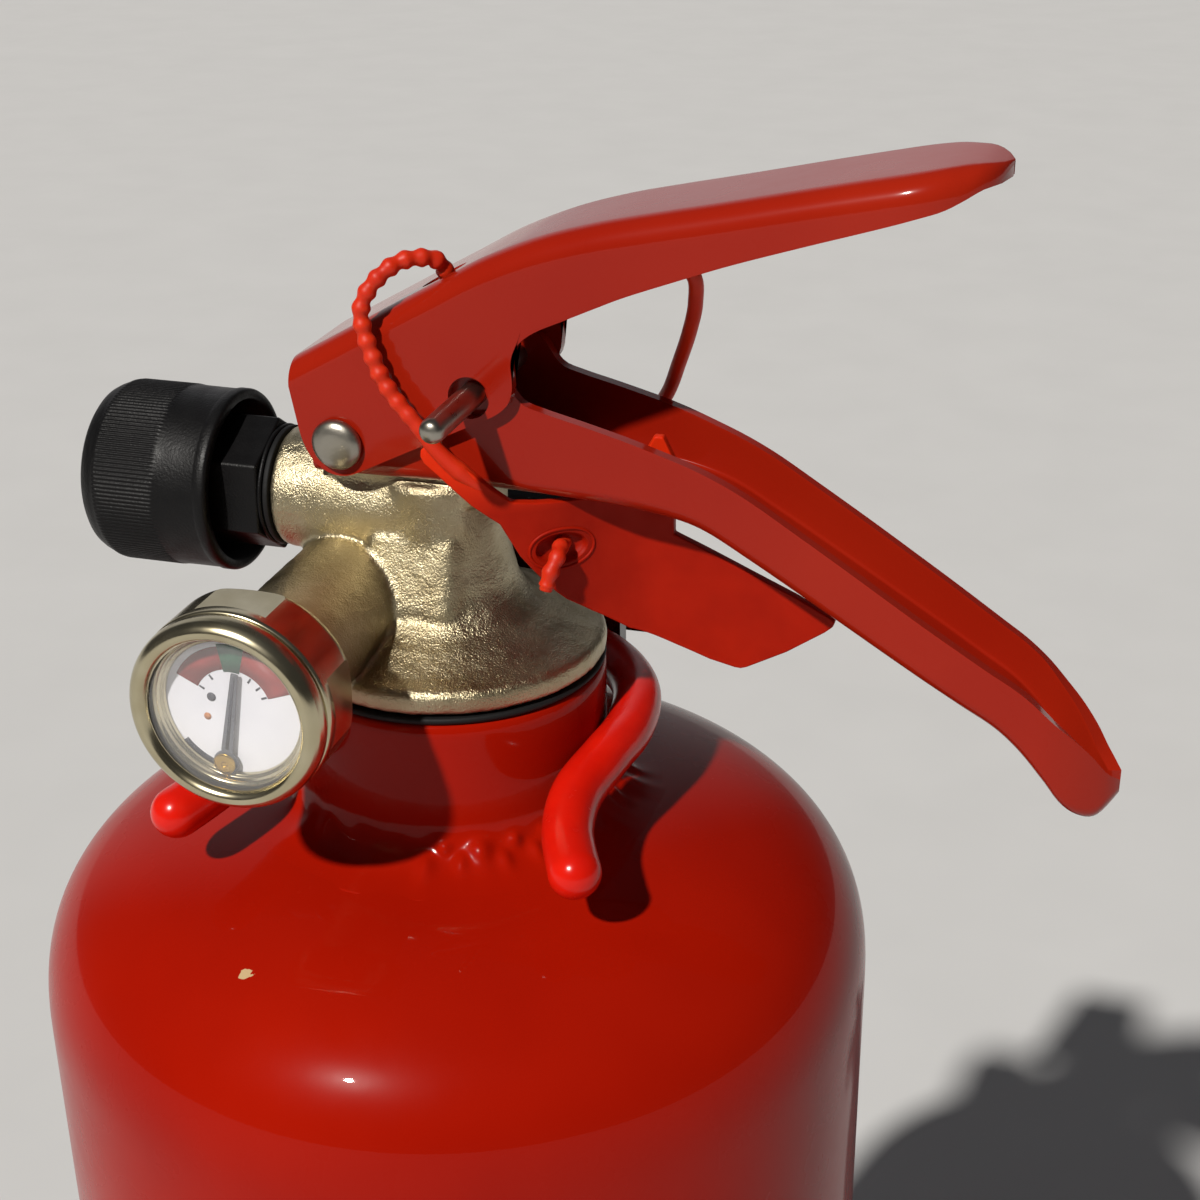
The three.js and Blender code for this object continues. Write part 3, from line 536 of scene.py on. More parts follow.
nickel = metal("forged_nickel", srgb(192, 181, 152), srgb(160, 146, 114), 0.26, 0.12, (0.28, 0.42))
nickel_smooth = turned_metal("turned_nickel", srgb(206, 197, 168), srgb(184, 173, 140), 1, (0.18, 0.28),
                             0.0025)
brass = turned_metal("turned_brass", srgb(214, 178, 86), srgb(178, 138, 58), 1, (0.18, 0.3), 0.004)
stem_brass = turned_metal("stem_brass_turned", srgb(205, 170, 90), srgb(170, 135, 62), 2, (0.18, 0.3), 0.004)
steel = metal("bright_steel", srgb(178, 173, 162), srgb(148, 143, 132), 0.5, 0.012, (0.26, 0.40))
spring_steel = metal("spring_steel", srgb(170, 172, 176), srgb(140, 142, 146), 0.6, 0.006, (0.2, 0.32))
needle_paint = plastic("needle_enamel", srgb(96, 98, 106), srgb(74, 76, 84), (0.3, 0.4), 0.004, 0.5)
black = plastic("moulded_black", srgb(16, 15, 16), srgb(11, 11, 12), (0.36, 0.50), 0.055, 0.32, 0.2)
black_boot = plastic("boot_black", srgb(30, 30, 32), srgb(20, 20, 22), (0.5, 0.66), 0.06, 0.9, 0.4)
rubber = plastic("rubber_black", srgb(22, 22, 23), srgb(14, 14, 15), (0.6, 0.75), 0.03, 0.6, 0.3)
white = plastic("white_plastic_plain", srgb(232, 232, 228), srgb(220, 220, 214), (0.4, 0.5), 0.01, 0.8)
powder = plastic("powder_bed", srgb(226, 220, 190), srgb(204, 196, 160), (0.9, 1.0), 0.4, 0.7, 0.1)
wall_paint = plastic("wall_strip_black", srgb(14, 14, 16), srgb(22, 22, 25), (0.16, 0.28), 0.010, 1.6, 0.6)
dial_white = plastic("dial_face", srgb(236, 236, 242), srgb(224, 224, 232), (0.45, 0.6), 0.004, 0.4, 0.3)
dial_red = plastic("dial_red_band", srgb(160, 52, 48), srgb(140, 42, 40), (0.45, 0.6), 0.004, 0.4, 0.3)
dial_green = plastic("dial_green_band", srgb(40, 100, 72), srgb(32, 86, 60), (0.45, 0.6), 0.004, 0.4, 0.3)
dial_ink = plastic("dial_ink", srgb(44, 46, 58), srgb(60, 60, 72), (0.45, 0.6), 0.004, 0.4, 0.3)
dial_orange = plastic("dial_orange", srgb(196, 130, 78), srgb(180, 112, 62), (0.45, 0.6), 0.004, 0.4, 0.3)

vinyl = soft_red("dipped_vinyl", srgb(216, 26, 10), srgb(200, 20, 7), 0.25, (0.16, 0.28), 1.6, 0.02)
# The seal's last colour is painted light on the tag above its bend
seal = soft_red("seal_polymer", srgb(160, 25, 4), srgb(146, 20, 3), 0.2, (0.4, 0.55), 0.9, 0.015, 0.1,
                srgb(206, 42, 10))
strap_red = soft_red("strap_polymer", srgb(208, 48, 14), srgb(190, 36, 9), 0.4, (0.4, 0.55), 0.7, 0.02)
lens = clear_window("gauge_window")


def paint(ob, material):
    ob.data.materials.clear()
    ob.data.materials.append(material)


def place(ob, body, slot, material, *replaced):
    """Gives a piece its material and body, and hides the CAD nodes that it stands for. The slot is not used.
    """
    paint(ob, material)
    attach(ob, body)
    if replaced:
        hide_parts(*replaced)


# ---------- vessel

def dome(count, r_min):
    """The dome's profile from the shoulder up to a radius."""
    pts = []
    for i in range(count + 1):
        a = math.pi / 2 * i / count
        r, z = BODY_R * math.cos(a) ** (2 / DOME_P), DOME_H * math.sin(a) ** (2 / DOME_P)
        if r > r_min:
            pts.append((r, DOME_Z + z))
    return pts


FOOT_Z, HOLE_R = 30, 17.3        # where the foot's curve ends; the hole for the neck
foot = round_profile([(0, 14), (20, 13), (38, 8), (46, 3.6), (50, 2.9), (53.4, 5), (BODY_R, 9.5),
                      (BODY_R, FOOT_Z)], 3.0, 4)
wall = [(BODY_R, FOOT_Z + (DOME_Z - FOOT_Z) * k / 24) for k in range(1, 24)]
neck_hole = [(HOLE_R, DOME_Z + DOME_H * 0.985)]
shell = turned("vessel_shell", foot + wall + dome(56, HOLE_R) + neck_hole, 180, lift=0)
place(shell, "vessel", "red_enamel", body_paint, "cylinder_shell")


def crown(r):
    """Height of the dome's surface at a radius, above the flange."""
    return -SHOULDER + DOME_H * max(0.0, 1 - (r / BODY_R) ** DOME_P) ** (1 / DOME_P)


# Neck collar, with the fillet and the uneven bead of its weld
collar_side = [(NECK_R, -1.8 - k * 0.8) for k in range(1, 16)]
fillet = [(NECK_R, -14.6)]
for k in range(1, 37):
    t = k / 36
    r = NECK_R + 8.0 * t ** 1.7
    fillet.append((r, crown(r) + 4.6 * math.exp(-((r - NECK_R) / 1.15) ** 0.75) - 0.10 * t))
collar = turned("vessel_collar", [(15.1, -24), (15.1, -1), (19.2, -1), (19.6, -1.1), (19.9, -1.4)]
                + collar_side + fillet + [(27.0, -21.5), (17.5, -20.8)], 480)
# Lumps of weld: angle, height, size and how far each stands out
lumps = [(-79, -18.9, 1.1, 0.8), (-73, -17.4, 0.9, 0.6), (-68, -18.7, 0.9, 0.7), (-61, -18.0, 1.5, 1.0),
         (-54, -18.8, 0.9, 0.6), (-49, -17.4, 0.9, 0.6), (-43, -18.7, 0.9, 0.6), (-38, -17.4, 0.8, 0.4)]
bead = random.Random(7)
for _ in range(36):
    lumps.append((bead.uniform(-30, 270), bead.uniform(-19.2, -17.2), bead.uniform(0.9, 1.5),
                  bead.uniform(0.15, 0.5)))


def weld_lump(co):
    """How far a point of the collar stands out: a light ripple and the lumps."""
    a, z = math.atan2(co.y, co.x), co.z / MM - FZ
    if z > -14 or math.hypot(co.x, co.y) < 19.8 * MM:
        return 0.0
    total = 0.10 * math.sin(11 * a + z) + 0.06 * math.sin(27 * a)
    total *= max(0.0, 1 - abs(z + 17.5) / 2.5)
    for deg, z0, size, h in lumps:
        d = (a - math.radians(deg) + math.pi) % (2 * math.pi) - math.pi
        total += h * math.exp(-((d * 21.5) ** 2 + ((z - z0) * 1.25) ** 2) / size ** 2)
    return total


for v in collar.data.vertices:
    flat = Vector((v.co.x, v.co.y, 0)).normalized()
    v.co += (flat + Vector((0, 0, 0.9))).normalized() * (weld_lump(v.co) * MM)
collar.data.update()
place(collar, "vessel", "red_enamel", body_paint, "neck_collar")

BOOT_R, BOOT_RIBS = 57.3, 90
boot_profile = round_profile([(0, 0), (54, 0), (56.6, 1.4), (BOOT_R, 4), (BOOT_R, 23.2), (56.6, 24),
                              (55.3, 24), (55.3, 9.4), (53.7, 4.7), (50.2, 2.5), (46, 2), (0, 2)], 0.7, 3)


def boot_wave(r, z, a):
    """Narrow grooves between the boot's ribs."""
    if r > 57.0 and 5.5 < z < 21:
        return r - 0.35 * (0.5 + 0.5 * math.cos(BOOT_RIBS * a)) ** 4
    return r


# More rows up the tall wall, so that its grooves have ends
boot_rows = []
for p, q in zip(boot_profile, boot_profile[1:]):
    boot_rows.append(p)
    if min(p[0], q[0]) > BOOT_R - 0.01 and q[1] - p[1] > 10:
        boot_rows += [(BOOT_R, p[1] + (q[1] - p[1]) * k / 12) for k in range(1, 12)]
boot_rows.append(boot_profile[-1])
boot = turned("foot_boot", boot_rows, 540, wave=boot_wave, lift=0)
place(boot, "vessel", "black_plastic", black_boot, "base_boot")

# ---------- forged valve

bell_rows = [(0, 0.3), (14.6, 0.2), (19.3, 0.2), (20.05, 0.7), (20.05, 2.7), (19.5, 3.3), (18.2, 3.7),
             (17, 4.2), (15.6, 4.9), (14, 5.8), (12.2, 6.7), (10.8, 7.8), (9.8, 9.0), (9.1, 10.4),
             (8.8, 11.9), (8.4, 13.4), (8.1, 15.2), (8, 17), (8, 23.8), (7.4, 24.6), (0, 24.6)]
bell = turned("bell", bell_rows)
BARREL = (0, 0, BARREL_Z)
barrel_rows = [(0, -6.4), (4.4, -6.2), (6.4, -5.3), (7.4, -3.6), (7.6, -2), (7.6, 19.4), (7.2, 20),
               (5.4, 20), (5.4, 14), (0, 14)]
barrel = turned("barrel", barrel_rows, 72, "-x", BARREL)
G_AT = (GAUGE[0], 0, GAUGE[1])
boss_rows = [(0, -4), (7.7, -4), (7.7, 27.7), (7.1, 28.5), (4.9, 28.5), (4.9, 20), (0, 20)]
boss = turned("boss", boss_rows, 72, "-y", G_AT)
pad_section = [(-10.9, 7.0), (-7.3, 19.5), (0, 7.0), (0, 19.5)]
pad = mesh_from("pad", [(x, y, z) for x in (-8, 5.0) for y, z in pad_section], BOX_FACES)
apply_all(soften(pad, 2.4, 5))
gusset = prism("gusset", [(-15, 2.5), (-3, 2.5), (-3, 9), (-15, 9)], -12, 3)
head_outline = ([(8, 22), (8, 30.8), (4.8, 35), (-3.5, 35), (-6, 33.9)]
                + arc(PIVOT[0], PIVOT[1], 4.1, 62, 200, 10) + [(-11.5, 22)])
head = prism("head", head_outline, -6.4, 6.4)
guide = turned("guide", [(0, 33), (4.2, 33), (4.2, 37.7), (3.9, 38), (2.15, 38), (2.15, 34), (0, 34)], 48)
valve = fuse("valve_forging", [bell, barrel, boss, pad, gusset, head, guide], 0.36, 7)
displace(valve, 0.08, 3.0, seed=3.0)
displace(valve, 0.05, 1.1, seed=9.0)
place(valve, "vessel", "nickel_brass", nickel, "valve_body")

gasket = turned("neck_gasket", round_profile([(15.2, -0.95), (19.7, -0.95), (20.05, -0.5), (19.9, -0.05),
                                              (15.2, -0.05)], 0.2, 2), 120, closed=True)
place(gasket, "vessel", "black_rubber", rubber, "neck_seal")

# ---------- nozzle

HEX_R = 15 / math.sqrt(3)
corners = [swung(0, HEX_R, math.radians(60 * i + 4), (0, BARREL_Z)) for i in range(6)]
nut_sides = [(i, (i + 1) % 6, 6 + (i + 1) % 6, 6 + i) for i in range(6)]
nut = mesh_from("nozzle_nut", [(x, y, z) for x in (-21.5, -28.6) for y, z in corners],
                nut_sides + [tuple(range(6)), tuple(range(6, 12))])
soften(nut, 0.3, 3)
place(nut, "vessel", "black_plastic", black)

insert_rows = [(0, 12.8), (5, 12.8), (5.1, 13.2), (5.1, 20.95), (7.6, 20.95), (7.7, 21.45), (7, 21.5),
               (7, 41), (6.6, 41.4), (3.7, 41.4), (2.6, 35), (0, 35)]
insert = turned("nozzle_insert", round_profile(insert_rows, 0.2, 2), 96, "-x", BARREL)
place(insert, "vessel", "black_plastic", black, "nozzle_body")
washer_rows = [(5.35, 20.15), (7.5, 20.15), (7.55, 20.5), (7.5, 20.82), (5.35, 20.82)]
washer = turned("nozzle_gasket", round_profile(washer_rows, 0.12, 2), 72, "-x", BARREL, closed=True)
place(washer, "vessel", "black_rubber", rubber, "nozzle_washer")
GRIP_RIBS, GRIP_LOW, GRIP_HIGH = 136, 33.6, 41.9


def grip(r, z, a):
    """Fine axial ribs in the band near the mouth."""
    if r > 11.2 and GRIP_LOW < z < GRIP_HIGH:
        edge = min(1.0, (z - GRIP_LOW) / 0.5, (GRIP_HIGH - z) / 0.5)
        return r - 0.17 * edge * (0.5 + 0.5 * math.cos(GRIP_RIBS * a))
    return r


sleeve_rows = [(10.3, 26.6), (11.1, 26.6), (11.4, 26.75), (11.52, 27.0), (11.54, 27.9), (11.42, 28.15),
               (11.38, 28.4), (11.38, 30.5), (11.4, 32.4), (11.42, 33.3), (11.46, 33.6), (11.52, 33.9),
               (11.55, 34.1)]
sleeve_rows += [(11.55, 34.1 + 0.6 * k) for k in range(1, 13)]
sleeve_rows += [(11.5, 41.6), (11.42, 41.9), (11.2, 42.1), (11.1, 42.6), (10.9, 43.1), (10.5, 43.8),
                (10.0, 44.2), (9.2, 44.5), (8.0, 44.5), (7.6, 44.2), (7.4, 43.6), (4.9, 43.4),
                (4.5, 43.3), (4.2, 43.0), (4.2, 41.8), (7.3, 41.8), (7.3, 33), (10.3, 31.5)]
sleeve = turned("nozzle_shroud", sleeve_rows, 680, "-x", BARREL, closed=True, wave=grip)
place(sleeve, "vessel", "black_plastic", black, "nozzle_sleeve")

# ---------- pressure gauge

case_rows = round_profile([(0, 20.5), (4.3, 20.5), (4.6, 20.9), (4.6, 29.5), (8.6, 29.5), (10.6, 30.3),
                           (11.5, 30.9), (11.7, 31.6), (11.7, 37.9), (11.55, 38.2), (11.1, 38.32),
                           (10.1, 38.32), (10.1, 33.2), (0, 33.2)], 0.35, 3)
case = turned("gauge_shell", case_rows, 160, "-y", G_AT)


def flat_tool(x0, x1, z0, z1):
    """Mills a flat on the back of the gauge case; measured from the gauge's axis."""
    return box("flat_tool", (GAUGE[0] + x0, GAUGE[0] + x1), (-36.8, -29.0), (GAUGE[1] + z0, GAUGE[1] + z1))


subtract(case, [flat_tool(-13, 13, 10.9, 14), flat_tool(-13, 13, -14, -10.9),
                flat_tool(10.9, 14, -13, 13)])
soften(case, 0.18, 2, 40)
place(case, "vessel", "polished_nickel", nickel_smooth, "gauge_case")
bezel_rows = [(10.2, 38.45), (11.3, 38.45), (11.6, 38.8), (11.62, 39.6), (11.45, 40.4), (11.05, 41.0),
              (10.5, 41.35), (9.95, 41.35), (9.55, 41.1), (9.3, 40.75), (9.15, 40.45), (10.2, 40.4)]
bezel = turned("gauge_ring", round_profile(bezel_rows, 0.25, 4), 200, "-y", G_AT, closed=True)
place(bezel, "vessel", "polished_nickel", nickel_smooth, "gauge_bezel")
window_rows = [(0, 39.6), (9.7, 39.6), (9.95, 39.8), (9.95, 40.1), (9.6, 40.25), (6, 40.35), (0, 40.4)]
window = turned("gauge_crystal", round_profile(window_rows, 0.2, 3), 120, "-y", G_AT)
place(window, "vessel", "clear_plastic", lens, "gauge_lens")
gasket_rows = [(4.8, 28.62), (6.2, 28.62), (6.4, 29.0), (6.2, 29.38), (4.8, 29.38)]
gauge_gasket = turned("gauge_gasket", round_profile(gasket_rows, 0.12, 2), 72, "-y", G_AT, closed=True)
place(gauge_gasket, "vessel", "black_rubber", rubber, "gauge_seal")

spacer_rows = [(9.45, 39.5), (9.0, 39.5), (8.75, 39.2), (8.6, 38.7), (8.25, 38.6), (8.1, 38.1), (9.45, 38.06)]
spacer = turned("gauge_step", round_profile(spacer_rows, 0.1, 2), 160, "-y", G_AT, closed=True)
place(spacer, "vessel", "polished_nickel", nickel_smooth)
TILT = math.radians(10.4)        # how far past upright the gauge is screwed home
NEEDLE_AT = swung(0, -7, TILT, GAUGE)
DIAL_Y = -38.03                  # front of the printed dial


def dial_xz(r, deg):
    """Point on the dial at a radius and an angle from straight up."""
    a = math.radians(deg)
    return swung(r * math.sin(a), r * math.cos(a), TILT, GAUGE)


face = turned("gauge_face", [(0, 37.3), (9.8, 37.3), (9.9, 37.4), (9.9, 37.95), (9.8, 38.0), (9.0, 38.0),
                             (6, 38.0), (3, 38.0), (0, 38.0)], 120, "-y", G_AT)
place(face, "vessel", "dial_white", dial_white, "gauge_dial")


def printed(name, outline, material):
    """One flat print on the dial."""
    ob = prism(name, outline, DIAL_Y, DIAL_Y + 0.02)
    place(ob, "vessel", "dial_white", material)


def band(name, r0, r1, d0, d1, material):
    steps = max(4, int(abs(d1 - d0) / 3))
    outer = [dial_xz(r1, d0 + (d1 - d0) * k / steps) for k in range(steps + 1)]
    inner = [dial_xz(r0, d1 + (d0 - d1) * k / steps) for k in range(steps + 1)]
    printed(name, outer + inner, material)


band("dial_band_low", 4.6, 7.4, -74, -21, dial_red)
band("dial_band_mid", 4.3, 7.7, -21, 4, dial_green)
band("dial_band_high", 4.6, 7.4, 4, 60, dial_red)
for i, (x, z, r, m) in enumerate([(-2.6, 0.9, 0.55, dial_ink), (-3.3, -1.6, 0.45, dial_orange)]):
    printed(f"dial_mark_{i}", oval(GAUGE[0] + x, GAUGE[1] + z, r, r, 24), m)
for i, d in enumerate((-72, -46, 22, 40, 57)):
    tick = [dial_xz(3.8, d - 2), dial_xz(4.5, d - 1.4), dial_xz(4.5, d + 1.4), dial_xz(3.8, d + 2)]
    printed(f"dial_tick_{i}", tick, dial_ink)
band("dial_rim_mark", 7.6, 8.4, 188, 222, dial_ink)


def on_needle(pairs):
    """Points measured across and along the needle from its pivot."""
    return [swung(x, z, TILT, NEEDLE_AT) for x, z in pairs]


needle_eye = arc(0, 0, 1.5, 65, -245, 31)
needle_shape = on_needle([(-0.42, 11.5), (0.42, 11.5), (0.72, 1.6), *needle_eye, (-0.72, 1.6)])
needle = soften(prism("gauge_pointer", needle_shape, -38.75, -38.45), 0.08, 2)
rib = prism("pointer_rib", on_needle([(-0.12, 11.2), (0.12, 11.2), (0.2, 1.8), (-0.2, 1.8)]), -38.82, -38.74)
place(rib, "needle", "needle_metal", dial_ink)
place(needle, "needle", "needle_metal", needle_paint, "gauge_needle")
hub_rows = [(0, 34), (0.8, 34), (0.8, 38.95), (1.3, 38.97), (1.3, 39.12), (0.9, 39.2), (0.35, 39.2),
            (0.3, 39.12), (0, 39.12)]
hub = turned("gauge_hub", round_profile(hub_rows, 0.05, 2), 48, "-y", (NEEDLE_AT[0], 0, NEEDLE_AT[1]))
place(hub, "needle", "needle_metal", brass, "gauge_pivot")

# ---------- pressed levers

def through(pairs):
    """Smooth curve through (x, value) pairs."""
    n = len(pairs)
    slope = []
    for i in range(n):
        a, b = pairs[max(0, i - 1)], pairs[min(n - 1, i + 1)]
        slope.append((b[1] - a[1]) / (b[0] - a[0]))

    def f(x):
        i = 0
        while i < n - 2 and x > pairs[i + 1][0]:
            i += 1
        (x0, y0), (x1, y1) = pairs[i], pairs[i + 1]
        h = x1 - x0
        t = unit((x - x0) / h)
        return ((2 * t ** 3 - 3 * t * t + 1) * y0 + (t ** 3 - 2 * t * t + t) * h * slope[i]
                + (3 * t * t - 2 * t ** 3) * y1 + (t ** 3 - t * t) * h * slope[i + 1])
    return f


def pressed(name, columns, inner, bend=3.0):
    """Channel of bent sheet with an outer and an inner skin. Each column is (web x, web height, half width,
    lip x, lip height); the web is at the web height and each cheek runs from there to the lip."""

    def line(column, r0):
        wx, wz, w, lx, lz = column
        up = 1 if wz > lz else -1
        r = max(0.02, min(r0, w * 0.95, abs(wz - lz) * 0.9))
        out = [(lx + (wx - lx) * k / 10, w, lz + (wz - up * r - lz) * k / 10) for k in range(10)]
        out += [(wx, y, z) for y, z in arc(w - r, wz - up * r, r, 0, 90 * up, 10)]
        out += [(wx, (w - r) * (1 - k / 4), wz) for k in range(1, 5)]
        return out + [(x, -y, z) for x, y, z in out[-2::-1]]

    outer = [line(c, bend) for c in columns]
    inside = [line(c, bend - SHEET) for c in inner]
    rows, n = len(outer[0]), len(columns)
    verts = [p for c in outer for p in c] + [p for c in inside for p in c]
    half = n * rows
    faces = []
    for j in range(n - 1):
        for k in range(rows - 1):
            a = j * rows + k
            faces.append((a, a + 1, a + rows + 1, a + rows))
            faces.append((half + a, half + a + rows, half + a + rows + 1, half + a + 1))
        for k in (0, rows - 1):
            a = j * rows + k
            faces.append((a, a + rows, half + a + rows, half + a))
    for j in (0, n - 1):
        for k in range(rows - 1):
            a = j * rows + k
            faces.append((a, a + 1, half + a + 1, half + a))
    return mesh_from(name, verts, faces)


def hollow(columns, web, half_at, tip, start):
    """The inner skin's columns: the web a sheet thickness in, and the rounded tip set back by as much."""
    squeeze = (tip - SHEET - start) / (tip - start)

    def back(x):
        return x if x < start else start + (x - start) * squeeze

    out = []
    for wx, wz, w, lx, lz in columns:
        x = back(wx)
        slope = (web(x + 0.25) - web(x - 0.25)) / 0.5
        up = 1 if wz > lz else -1
        out.append((x, web(x) - up * SHEET * math.hypot(1, min(1.2, abs(slope))),
                    max(0.05, half_at(wx) - SHEET * min(1.0, half_at(wx) / 4.0)), back(lx), lz))
    return out


def fan(edge, x0, x1, merge_x, merge_t):
    """Columns that fan out from a cheek's edge: (web x, edge x, edge height). The web's x runs evenly from
    x0 to x1; past merge_x on the grip's side it joins the edge's own."""
    points, length = resample(spline([(x, 0, z) for x, z in edge], 8), 0.8)
    out = []
    for p, s in points:
        t = s / length
        blend = unit((p.x - merge_x) / 14) if t > merge_t else 0.0
        wx = (x0 + (x1 - x0) * t) * (1 - blend) + p.x * blend
        if out:
            wx = max(wx, out[-1][0] + 0.01)
        out.append((wx, p.x, p.z))
    return out


LEVER_ROUND, LEVER_TIP = 55, 66.6
lever_top = through([(-16, 39.0), (-4, 45.8), (4, 50.3), (9, 53.1), (15.5, 55.9), (22, 57.9),
                     (28.5, 59.4), (36, 61.0), (46, 63.2), (54, 64.9), (58, 65.7), (61, 66.2),
                     (64, 66.4), (66.5, 66.0), (68, 65.6)])


def lever_half(x):
    """Half width of the upper lever, with its rounded tip."""
    u = unit((x - LEVER_ROUND) / (LEVER_TIP - LEVER_ROUND))
    return 10 * math.sqrt(max(0.0025, 1 - u ** 2.4))


lip = [(-14.0, 32.2), (-13.7, 30.7), (-13.0, 28.8), (-12.1, 27.5), (-11.0, 26.6), (-9.9, 26.15),
       (-8.8, 26.05), (-7.8, 26.2), (-6.8, 26.6), (-3, 28.5), (1, 30.5), (5, 32.5), (8.6, 34.3),
       (10.4, 35.2), (11.7, 36.1), (12.6, 37.2), (13.0, 38.6), (13.0, 40.2), (12.9, 41.8), (13.3, 43.3),
       (14.3, 44.6), (16.0, 45.8), (19, 47.2), (23, 49.05), (26, 50.4), (32, 52.7), (38, 54.9),
       (46, 57.5), (54, 60.0), (58, 61.3), (60.5, 62.1), (62.5, 63.1), (64.2, 64.0), (65.6, 64.2),
       (66.6, 64.25)]
lever_cols = [(wx, lever_top(wx), lever_half(wx), lx, lz) for wx, lx, lz in fan(lip, -14.8, 66.58, 20, 0.4)]
lever = pressed("lever_upper", lever_cols, hollow(lever_cols, lever_top, lever_half, LEVER_TIP, LEVER_ROUND))
apply_all(soften(lever, 0.32, 3, 38))
web_hole = turned("web_hole", [(0, 40), (2.6, 40), (2.6, 60), (0, 60)], 48, at=(3.0, -3.8, 0))
pin_bore = turned("pin_bore", [(0, 6.2), (2.5, 6.2), (2.5, 12.5), (0, 12.5)], 48, "-y", (LOCK[0], 0, LOCK[1]))
even_normals(subtract(lever, [web_hole, pin_bore]), 40)
place(lever, "lever", "lever_enamel", lever_paint, "upper_lever")

HANDLE_ROUND, HANDLE_TIP = 74, 84.7
handle_bottom = through([(-14, 25.2), (-9, 25.2), (5, 25.4), (12, 25.2), (18, 25.0), (26, 24.5),
                         (31, 23.7), (35, 22.4), (40, 19.6), (47, 15.4), (59, 8.0), (66, 3.7),
                         (70, 1.2), (73, -1.6), (76, -5.3), (78, -8.2), (80, -10.0), (82.2, -10.7),
                         (84.0, -9.2), (85, -7.6)])
handle_half = through([(-14, 8.3), (28, 8.3), (34, 8), (60, 8), (68, 7.6), (73, 7.1), (76, 6.7),
                       (79, 5.6), (81.5, 4.2), (83.4, 2.8), (84.4, 1.6), (85, 0.8)])
rim = [(-13.2, 28.5), (-13.3, 30.0), (-13.1, 31.6), (-12.4, 33.0), (-11.3, 34.0), (-10.0, 34.5),
       (-8.4, 34.6), (-6.6, 34.3), (-5, 34.3), (-2, 35.9), (2.5, 38.6), (4.2, 39.8), (5.6, 40.5),
       (7.5, 40.75), (9.4, 40.6), (10.8, 40.0), (11.8, 39.0), (12.5, 37.7), (13.6, 36.5), (16, 35.7),
       (20.8, 34.5), (27, 32.8), (32, 31.1), (36, 29.5), (40, 27.5), (46, 23.8), (52, 20.0), (60, 14.8),
       (64.5, 11.9), (69, 9.0), (72, 7.1), (74.4, 5.2), (77, 2.7), (79.3, 0.5), (81.4, -1.9),
       (83, -4.2), (84.7, -6.0)]
handle_cols = [(wx, handle_bottom(wx), handle_half(wx), lx, max(lz, handle_bottom(wx) + 1.2))
               for wx, lx, lz in fan(rim, -13.2, HANDLE_TIP, 16, 0.3)]
handle_inner = hollow(handle_cols, handle_bottom, handle_half, HANDLE_TIP, HANDLE_ROUND)
handle = pressed("lever_lower", handle_cols, handle_inner, bend=2.0)
valve_slot = box("valve_slot", (-16, 8.3), (-6.8, 6.8), (15, 60))
drain_slot = box("drain_slot", (23.9, 30.3), (-1.4, 1.5), (15, 28))
subtract(handle, [valve_slot, drain_slot])
soften(handle, 0.30, 3, 38)
place(handle, "vessel", "lever_enamel", lever_paint, "lower_handle")

# ---------- rivet, pin and ring

rivet_rows = [(0, -11.7), (1.4, -11.66), (2.2, -11.5), (2.75, -11.2), (3.1, -10.75), (3.1, -10.3),
              (2.4, -10.3)]
rivet_rows += [(r, -z) for r, z in reversed(rivet_rows)]
rivet = turned("pivot_stud", rivet_rows, 96, "-y", (PIVOT[0], 0, PIVOT[1]))
soften(rivet, 0.12, 2, 50)
place(rivet, "vessel", "steel", steel, "pivot_rivet")

pin_rows = round_profile([(0, -17.5), (1.6, -17.4), (2.2, -16.9), (2.45, -16.0), (2.4, -14.9),
                          (2.05, -14.2), (2.0, -10.4), (1.5, -10.2), (1.5, 21.6), (1.2, 22.3),
                          (0.6, 22.6), (0, 22.7)], 0.3, 3)
pin = turned("lock_pin", pin_rows, 64, "-y", (LOCK[0], 0, LOCK[1]))
place(pin, "pin", "steel", steel, "safety_pin")
HANG = math.radians(50)          # how far the ring hangs back towards the pivot
HOOP_R, HOOP_Y = 11, 14.7


def hoop_point(i):
    """Point on the pull ring, which hangs from the pin's cross hole."""
    a = 2 * math.pi * i / 120
    x, z = swung(HOOP_R * math.sin(a), HOOP_R * math.cos(a) - HOOP_R, HANG, LOCK)
    return Vector((x, HOOP_Y, z))


hoop = sweep("pull_hoop", [(hoop_point(i), i) for i in range(120)], lambda s: 0.9, 20, closed=True)
place(hoop, "ring", "steel", steel, "pull_ring")

# ---------- tamper seal

plan_route = [(-2, -11.6, 0), (4, -11.4, 0), (9, -10.6, 0), (12.5, -9.3, 0), (16.5, -6.9, 0),
              (21, -2.9, 0), (26, -0.2, 0), (31, 0.3, 0), (40, 0.3, 0), (52, 0.3, 0)]
tag_plan = [p for p, _ in resample(spline(plan_route, 16), 0.4)[0]]
TAIL_HOLE = (17.1, 18.4)         # lock hole for the strap's tail


def plan_at(x):
    """Point and tangent of the tag's plan curve at an x."""
    last = len(tag_plan) - 1
    i = 0
    while i < last - 1 and tag_plan[i + 1].x < x:
        i += 1
    a, b = tag_plan[i], tag_plan[i + 1]
    t = (x - a.x) / max(1e-6, b.x - a.x)
    return a.lerp(b, t), (tag_plan[min(last, i + 2)] - tag_plan[max(0, i - 1)]).normalized()


